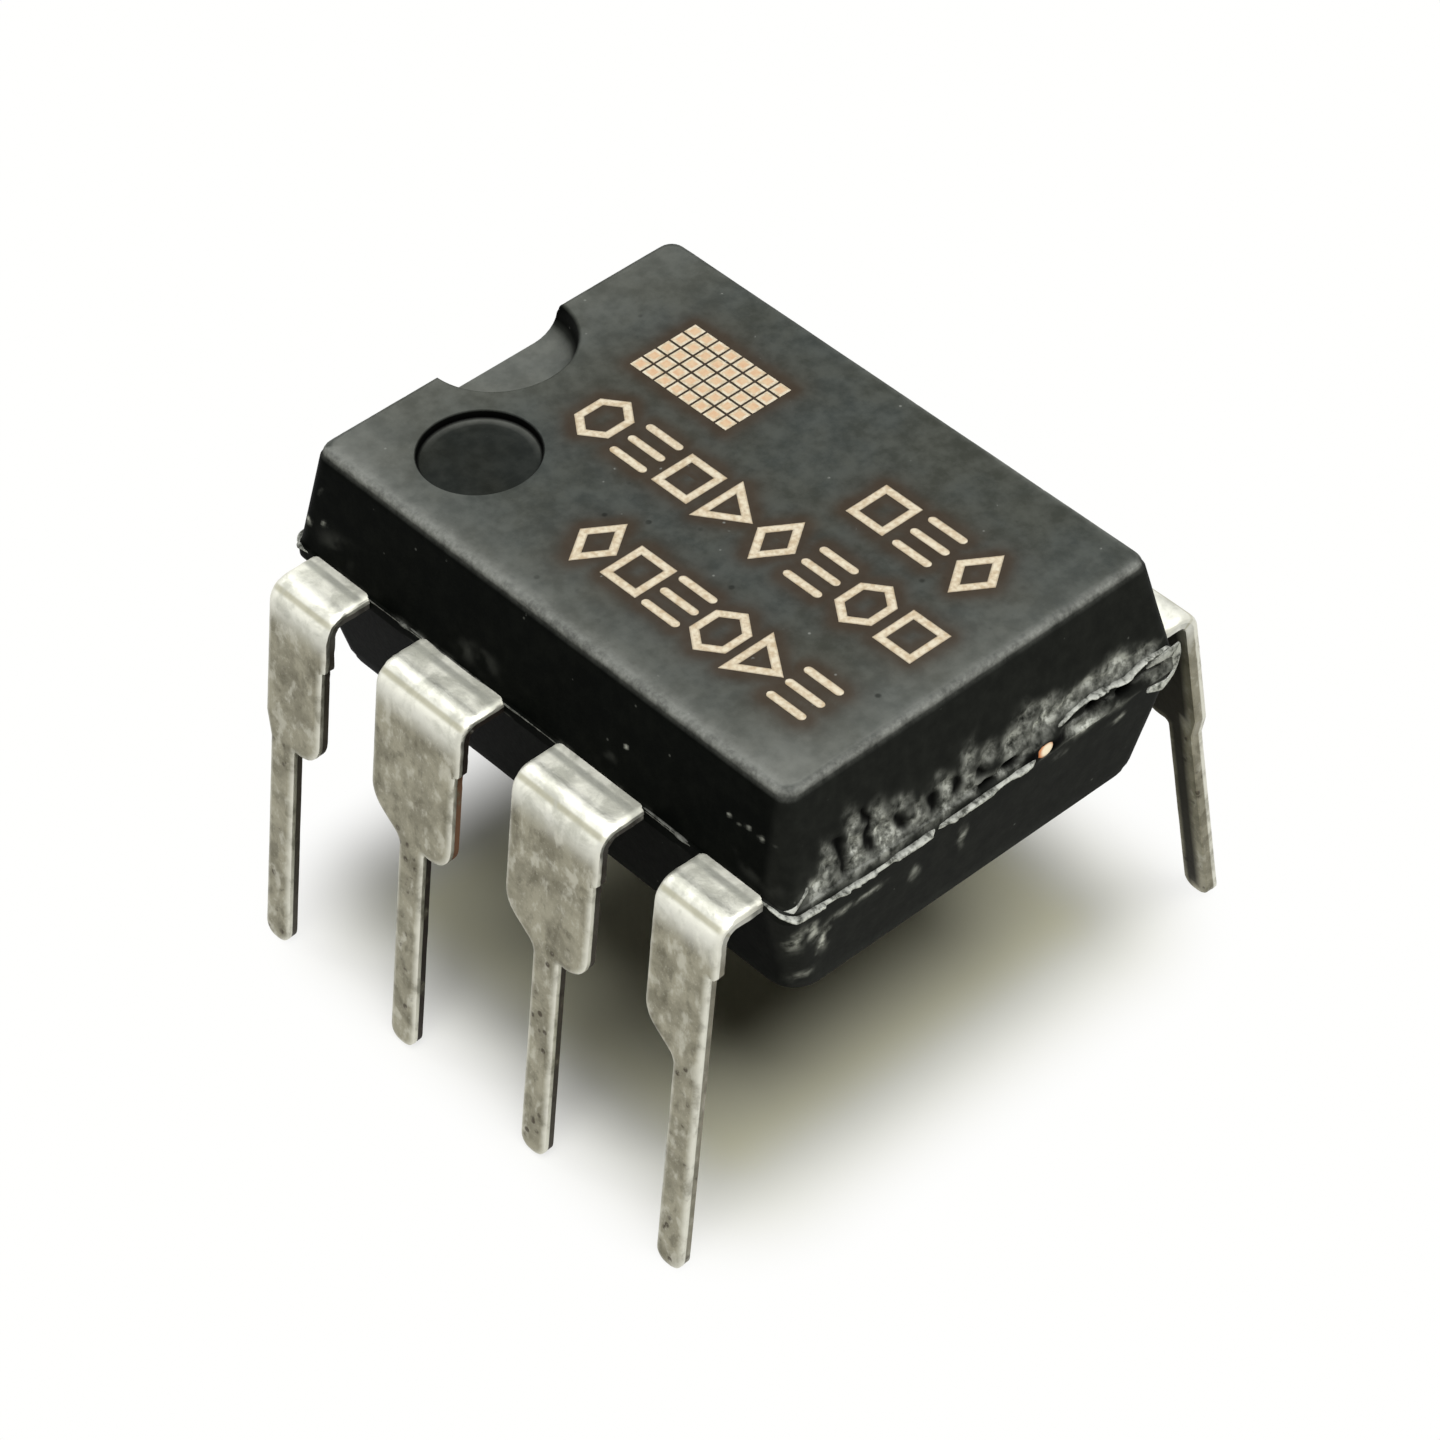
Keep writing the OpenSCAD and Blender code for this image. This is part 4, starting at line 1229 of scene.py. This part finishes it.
def dense_loop(corners, spacing):
    """Closed outline from (across, along, radius) corners, with its straight stretches divided."""
    loop = []
    count = len(corners)
    for i, (x, y, radius) in enumerate(corners):
        here = np.array([x, y])
        before = np.array(corners[i - 1][:2])
        after = np.array(corners[(i + 1) % count][:2])
        loop += arc_points(before, here, after, radius) if radius else [here]
    dense = []
    for a, b in zip(loop, loop[1:] + loop[:1]):
        steps = max(1, int(math.ceil(np.linalg.norm(b - a) / spacing)))
        dense += [a + (b - a) * i / steps for i in range(steps)]
    return np.array(dense)


def finger_corners(j, left, right, look):
    """Corners of the part of a lead's blank that narrows to its finger and runs in towards the die."""
    x = lead_x(j, look)
    bend_y = bend_sizes(look)[2]
    neck = NECK_Y - bend_y
    if 1 < j < LEADS_PER_SIDE:
        aim = -math.copysign(MIDDLE_END[0], x)
        end = MIDDLE_END[1] - bend_y
        return [
            (right, neck, 0),
            (aim + FINGER_W / 2, end, 0),
            (aim - FINGER_W / 2, end, 0),
            (-left, neck, 0),
        ]
    side = -math.copysign(1, x)
    tip_x = side * (abs(x) - CORNER_END_X)
    tip = CORNER_END_Y[j] - bend_y
    corners = [
        (side * look.corner_in, neck + 0.2 * MM, 0),
        (tip_x, tip + FINGER_W, 0),
        (tip_x, tip, 0),
        (tip_x - side * FINGER_W, tip, 0),
        (-side * look.corner_out, neck - 0.4 * MM, 0),
    ]
    return corners if j == 1 else corners[::-1]


def blank_corners(k, look):
    """Corners of a lead's flat blank, as across, along and radius. Along is measured from where its bend
    starts, outward and down."""
    j = place_in_row(k)
    mid_r, turn, _ = bend_sizes(look)
    bend_len = mid_r * turn
    start_z = -mid_r + mid_r * math.cos(turn)
    cosine = math.cos(look.splay)
    trim = bend_len + (look.trim_h + start_z) / cosine
    foot = bend_len + (look.shoulder_h + start_z) / cosine
    tip = bend_len + (PARTING_Z + start_z - HALF_T * math.sin(look.splay)) / cosine
    half_leg = look.leg_w / 2
    left = right = look.shoulder_w / 2
    if j == 1:
        left, right = look.corner_out, look.corner_in
    elif j == LEADS_PER_SIDE:
        left, right = look.corner_in, look.corner_out
    leg = [
        (-left, foot - look.flank_h, SHARP_R if j == 1 else look.flank_r),
        (-half_leg, foot, SHARP_R if j == 1 else look.foot_r),
        (-half_leg, tip, TIP_R),
        (half_leg, tip, TIP_R),
    ]
    if j == LEADS_PER_SIDE:
        leg.append((half_leg, trim, TRIM_R))
    else:
        leg += [
            (half_leg, foot, SHARP_R),
            (right - look.trim_step, foot, LOBE_R),
            (right - look.trim_step, trim, TRIM_R),
        ]
    leg.append((right, trim, TRIM_EDGE_R))
    return leg + finger_corners(j, left, right, look)


def inset_loop(loop, distance):
    """The loop moved inwards by a small distance, with mitred corners."""
    before = loop - np.roll(loop, 1, axis=0)
    after = np.roll(loop, -1, axis=0) - loop
    normals = []
    for edge in (before, after):
        edge = edge / np.linalg.norm(edge, axis=1)[:, None]
        normals.append(np.column_stack([-edge[:, 1], edge[:, 0]]))
    total = normals[0] + normals[1]
    total /= np.clip(1 + (normals[0] * normals[1]).sum(1), 0.35, None)[:, None]
    return loop + distance * total


def bent(across, along, out, k, look):
    """Places of points of the flat blank after bending, and the way its upper surface faces there."""
    mid_r, turn, bend_y = bend_sizes(look)
    a = np.clip(along / mid_r, 0, turn)
    extra = np.clip(along - mid_r * turn, 0, None)
    y = -bend_y - np.minimum(along, 0) - mid_r * np.sin(a) - extra * math.cos(turn)
    z = -mid_r + mid_r * np.cos(a) - extra * math.sin(turn)
    facing = np.column_stack([np.zeros(len(a)), -np.sin(a), np.cos(a)])
    points = np.column_stack([across + lead_x(k, look), y, z + PARTING_Z]) + facing * out[:, None]
    if k > LEADS_PER_SIDE:
        points[:, :2] *= -1
        facing[:, :2] *= -1
    return points, facing


def lead_blank(k, loop, look):
    """The flat blank with its rolled outer edge and broken inner edge, cut finely enough to bend."""
    roll = look.roll
    broken = BROKEN_EDGE[k - 1]
    # Inset, height in the sheet, share of the broken zone and share of the sheared zone, whose pale
    # colour also paints a highlight on the rolled edge
    profile = [
        (1.1 * roll, HALF_T, 0, 0),
        (0.6 * roll, 0.95 * HALF_T, 0, 0.3),
        (0.25 * roll, 0.82 * HALF_T, 0, 0.7),
        (0, 0.62 * HALF_T, 0, 1),
        (0, 0.12 * HALF_T, 0, 1),
        (0.08 * roll, 0, broken, 0),
        (0.2 * roll, -0.85 * HALF_T, broken, 0),
        (0.4 * roll, -HALF_T, 0.4 * broken, 0),
    ]
    bm = bmesh.new()
    side_layer = bm.verts.layers.float.new("side")
    sheared_layer = bm.verts.layers.float.new("sheared_and_highlight")
    rings = []
    for inset, out, side, sheared_and_highlight in profile:
        ring = []
        for x, y in inset_loop(loop, inset):
            vert = bm.verts.new((x, y, out))
            vert[side_layer] = side
            vert[sheared_layer] = sheared_and_highlight
            ring.append(vert)
        rings.append(ring)
    count = len(loop)
    for upper, lower in zip(rings, rings[1:]):
        for i in range(count):
            bm.faces.new((upper[i], lower[i], lower[(i + 1) % count], upper[(i + 1) % count]))
    bm.faces.new(rings[0])
    bm.faces.new(rings[-1][::-1])
    low, high = loop.min(0), loop.max(0)
    cuts = [
        (np.arange(low[1], high[1], CUT_STEP), Vector((0, 1, 0))),
        (np.arange(0.01 * MM, 0.4 * MM, 0.03 * MM), Vector((0, 1, 0))),
        (np.arange(low[0], high[0], CUT_STEP), Vector((1, 0, 0))),
    ]
    for places, normal in cuts:
        for place in places:
            bmesh.ops.bisect_plane(
                bm, geom=bm.verts[:] + bm.edges[:] + bm.faces[:], dist=1e-8,
                plane_co=normal * place, plane_no=normal)
    bmesh.ops.triangulate(bm, faces=[f for f in bm.faces if len(f.verts) > 4])
    mesh = bpy.data.meshes.new(f"lead_{k}_look")
    bm.to_mesh(mesh)
    bm.free()
    return mesh


def lead_mesh(k, look):
    """One stamped and bent lead with small dents, ragged edges and, on some, a burr or bare copper, with
    the fields for a painted shade on its inner face and a painted highlight on the burr.
    """
    loop = dense_loop(blank_corners(k, look), OUTLINE_STEP)
    area = (loop[:, 0] * np.roll(loop[:, 1], -1) - np.roll(loop[:, 0], -1) * loop[:, 1]).sum()
    if area < 0:
        loop = loop[::-1]
    mesh = lead_blank(k, loop, look)
    flat = mesh_points(mesh)
    across, along, out = flat.T
    points, facing = bent(across, along, out, k, look)
    mm = points / MM
    outside = smoothstep(-0.45, -0.3, along / MM)
    dents = 0.007 * (rough_noise(mm, 0.34, 40 + k) - 0.5) * outside
    points += facing * (dents * MM)[:, None]
    rim = smoothstep(0.0, 0.3, get_field(mesh, "side")) + (np.abs(out) < 0.8 * HALF_T)
    torn = np.clip(rim, 0, 1) * outside * (along < look.trim_h + 0.4 * MM)
    glint = 0 * along
    ragged = (rough_noise(mm, 0.11, 60 + k) - 0.5) * MM
    points[:, 0] += 0.03 * ragged * torn
    if place_in_row(k) == LEADS_PER_SIDE:
        bump = np.exp(-((across / MM - BURR_AT[0]) / 0.1) ** 2 - ((along / MM - BURR_AT[1]) / 0.11) ** 2)
        points += facing * (0.05 * bump * MM)[:, None]
        points[:, 0] += 0.05 * bump * MM * (1 if k <= LEADS_PER_SIDE else -1)
        # Painted highlight on the upper face of the burr
        glint = bump * (out > 0)
    mesh.vertices.foreach_set("co", points.astype(np.float32).ravel())
    mesh.update()
    set_field(mesh, "run", along / MM)
    lobe = smoothstep(0.8, 0.95, along / MM) * smoothstep(2.5, 2.2, along / MM) * (across > 0)
    set_field(mesh, "bare", lobe * (place_in_row(k) == 2))
    set_field(mesh, "sheared_and_highlight", np.maximum(get_field(mesh, "sheared_and_highlight"), glint))
    # Painted shade on the inner faces, kept off their edges and off a wider strip along the edges on the
    # side of negative across
    rim_gap = np.full(len(flat), 1.0)
    for a, b in zip(loop, np.roll(loop, -1, axis=0)):
        pale_rim = 0.14 * MM if a[0] < -0.1 * MM else 0
        rim_gap = np.minimum(rim_gap, gap_to_line(flat[:, :2], a, b) - pale_rim)
    inner_face_painted_shade = (out < -0.97 * HALF_T) * smoothstep(-0.45, -0.35, along / MM)
    set_field(mesh, "back", inner_face_painted_shade * smoothstep(0.02 * MM, 0.07 * MM, rim_gap))
    return mesh


# The operators, one for each piece or group of like pieces and one for the stage

# Half the width of the floor, and the distance of the lamps from the body's middle
FLOOR_HALF = 600 * MM
LAMP_AWAY = 300 * MM
# Name, direction towards the lamp, angular radius in degrees, brightness and warmth
LAMPS = [
    ("overhead", (0.28, -0.01, 0.95), 22, 6.4, (1.0, 1.0, 0.985)),
    ("back_left", (-0.55, 0.5, 0.67), 15, 0.5, (0.96, 0.98, 1.0)),
    ("bend_strip", (-0.55, -0.06, 0.83), 6, 7.0, (1.0, 1.0, 0.97)),
    ("front_left", (-0.55, -0.8, 0.2), 8, 1.4, (1.0, 0.97, 0.88)),
]
# Colour and strength of the light that the even sky gives
SKY = (1.0, 0.96, 0.8)
SKY_STRENGTH = 0.012


class CHIP_OT_body(bpy.types.Operator):
    """Build the moulded body with its notch, recess, worn edges with a painted highlight, painted sheen
    and shade, and broken end
    """

    bl_idname = "chip.body"
    bl_label = "Moulded body"

    def execute(self, context):
        scene = context.scene
        look, marks = scene.chip_body, scene.chip_marks
        mesh = cut_away(body_mesh(look), body_cutters(look))
        body_fields(mesh, look, marks, scene.chip_leads)
        add_piece("epoxy_body_look", mesh, epoxy_material(look, marks), ["epoxy_body"])
        return {"FINISHED"}


class CHIP_OT_flash(bpy.types.Operator):
    """Build the torn lip of flash round the parting line and the curls at the corners"""

    bl_idname = "chip.flash"
    bl_label = "Mould flash"

    def execute(self, context):
        look = context.scene.chip_body
        material = flash_material()
        add_piece("mould_flash", flash_mesh(look), material, sharp=60)
        add_piece("flash_curls", curl_mesh(look), material, sharp=60)
        return {"FINISHED"}


class CHIP_OT_marks(bpy.types.Operator):
    """Build the plain symbols and the block of cells on the top face"""

    bl_idname = "chip.marks"
    bl_label = "Printed marks"

    def execute(self, context):
        marks = context.scene.chip_marks
        add_piece("marks", marks_mesh(marks), ink_material(marks))
        return {"FINISHED"}


class CHIP_OT_leads(bpy.types.Operator):
    """Build the eight tinned leads"""

    bl_idname = "chip.leads"
    bl_label = "Leads"

    def execute(self, context):
        look = context.scene.chip_leads
        material = tin_material(look)
        for k in range(1, 2 * LEADS_PER_SIDE + 1):
            add_piece(f"lead_{k}_look", lead_mesh(k, look), material, [f"lead_{k}"])
        return {"FINISHED"}


class CHIP_OT_inner(bpy.types.Operator):
    """Finish the die pad, the adhesive, the die and the bond wires, which keep their CAD shapes"""

    bl_idname = "chip.inner"
    bl_label = "Inside the body"

    def execute(self, context):
        copper = plain_metal(
            "frame_copper", 0.16 * MM, 0.3,
            bright=paint(236, 160, 104), dark=paint(150, 84, 48), fresh=paint(255, 240, 208))
        gold = plain_metal(
            "gold_wire", 0.05 * MM, 0.2,
            bright=paint(246, 208, 110), dark=paint(208, 160, 70), fresh=paint(246, 208, 110))
        finishes = {"die_pad": copper, "die_attach": resin_material(), "silicon_die": silicon_material()}
        for k in range(1, 2 * LEADS_PER_SIDE + 1):
            finishes[f"bond_wire_{k}"] = gold
        for name, material in finishes.items():
            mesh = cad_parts[name].data
            mesh.materials.clear()
            mesh.materials.append(material)
        return {"FINISHED"}


class CHIP_OT_stage(bpy.types.Operator):
    """Set the camera, the pale floor, the world and the lamps"""

    bl_idname = "chip.stage"
    bl_label = "Stage"

    def execute(self, context):
        scene = context.scene
        look = scene.chip_stage
        place_camera(scene, look)
        corners = [(x * FLOOR_HALF, y * FLOOR_HALF, 0) for x, y in ((-1, -1), (1, -1), (1, 1), (-1, 1))]
        mesh = new_mesh("floor", corners, [(0, 1, 2, 3)])
        mesh.materials.append(floor_material(look))
        floor = bpy.data.objects.new("floor", mesh)
        scene.collection.objects.link(floor)
        set_world(scene)
        for lamp in LAMPS:
            add_lamp(scene, *lamp)
        scene.view_settings.view_transform = "Standard"
        return {"FINISHED"}


def place_camera(scene, look):
    """The camera, aimed from the photograph's side at a point near the middle of the parting plane."""
    az, el, roll = look.azimuth, look.elevation, look.roll
    back = Vector((math.sin(az) * math.cos(el), -math.cos(az) * math.cos(el), math.sin(el)))
    right = Vector((math.cos(az), math.sin(az), 0))
    up = back.cross(right)
    x_axis = math.cos(roll) * right + math.sin(roll) * up
    y_axis = -math.sin(roll) * right + math.cos(roll) * up
    aim = Vector((0, 0, PARTING_Z)) + x_axis * look.shift_x + y_axis * look.shift_y
    camera = bpy.data.cameras.new("camera")
    camera.lens = look.lens
    camera.sensor_width = 36
    camera.sensor_fit = "HORIZONTAL"
    camera.clip_start = 1 * MM
    camera.clip_end = 10
    holder = bpy.data.objects.new("camera", camera)
    turned = Matrix((x_axis, y_axis, back)).transposed().to_4x4()
    holder.matrix_world = Matrix.Translation(aim + back * look.distance) @ turned
    scene.collection.objects.link(holder)
    scene.camera = holder


def set_world(scene):
    """A dim even sky that the camera and shiny surfaces see as white."""
    world = bpy.data.worlds.new("pale_world")
    world.use_nodes = True
    nodes = Nodes(world.node_tree)
    sky = nodes.tree.nodes["Background"]
    nodes.feed(sky.inputs["Color"], SKY)
    nodes.feed(sky.inputs["Strength"], SKY_STRENGTH)
    white = nodes.node("ShaderNodeBackground", None, {"Color": WHITE})
    nodes.end_with("World Output", nodes.seen(), Value(nodes, sky.outputs[0]), white)
    scene.world = world


def add_lamp(scene, name, direction, spread, brightness, tint):
    """A round area lamp seen from the object at an angular radius, with a surface of that brightness."""
    radius = LAMP_AWAY * math.tan(math.radians(spread))
    data = bpy.data.lights.new(name, "AREA")
    data.shape = "DISK"
    data.size = 2 * radius
    data.energy = brightness * math.pi ** 2 * radius ** 2
    data.color = tint
    holder = bpy.data.objects.new(name, data)
    towards = Vector(direction).normalized()
    holder.location = Vector((0, 0, PARTING_Z)) + towards * LAMP_AWAY
    holder.rotation_euler = towards.to_track_quat("Z", "Y").to_euler()
    scene.collection.objects.link(holder)


class CHIP_PT_panel(bpy.types.Panel):
    """Lists the steps that build the looks of the package, and their sizes and colours"""

    bl_label = "Chip"
    bl_idname = "CHIP_PT_panel"
    bl_space_type = "VIEW_3D"
    bl_region_type = "UI"
    bl_category = "Chip"

    def draw(self, context):
        for step in STEPS:
            self.layout.operator(step.bl_idname)
        for group, cls in GROUPS.items():
            for name in cls.__annotations__:
                self.layout.prop(getattr(context.scene, group), name)


STEPS = (CHIP_OT_body, CHIP_OT_flash, CHIP_OT_marks, CHIP_OT_leads, CHIP_OT_inner, CHIP_OT_stage)
GROUPS = {
    "chip_body": ChipBodyLook,
    "chip_marks": ChipMarkLook,
    "chip_leads": ChipLeadLook,
    "chip_stage": ChipStageLook,
}


def register():
    for cls in (*GROUPS.values(), *STEPS, CHIP_PT_panel):
        bpy.utils.register_class(cls)
    for name, cls in GROUPS.items():
        setattr(bpy.types.Scene, name, PointerProperty(type=cls))


def unregister():
    for name in GROUPS:
        delattr(bpy.types.Scene, name)
    for cls in reversed((*GROUPS.values(), *STEPS, CHIP_PT_panel)):
        bpy.utils.unregister_class(cls)


def main():
    register()
    bpy.ops.chip.body()
    bpy.ops.chip.flash()
    bpy.ops.chip.marks()
    bpy.ops.chip.leads()
    bpy.ops.chip.inner()
    bpy.ops.chip.stage()


if __name__ == "__main__":
    main()
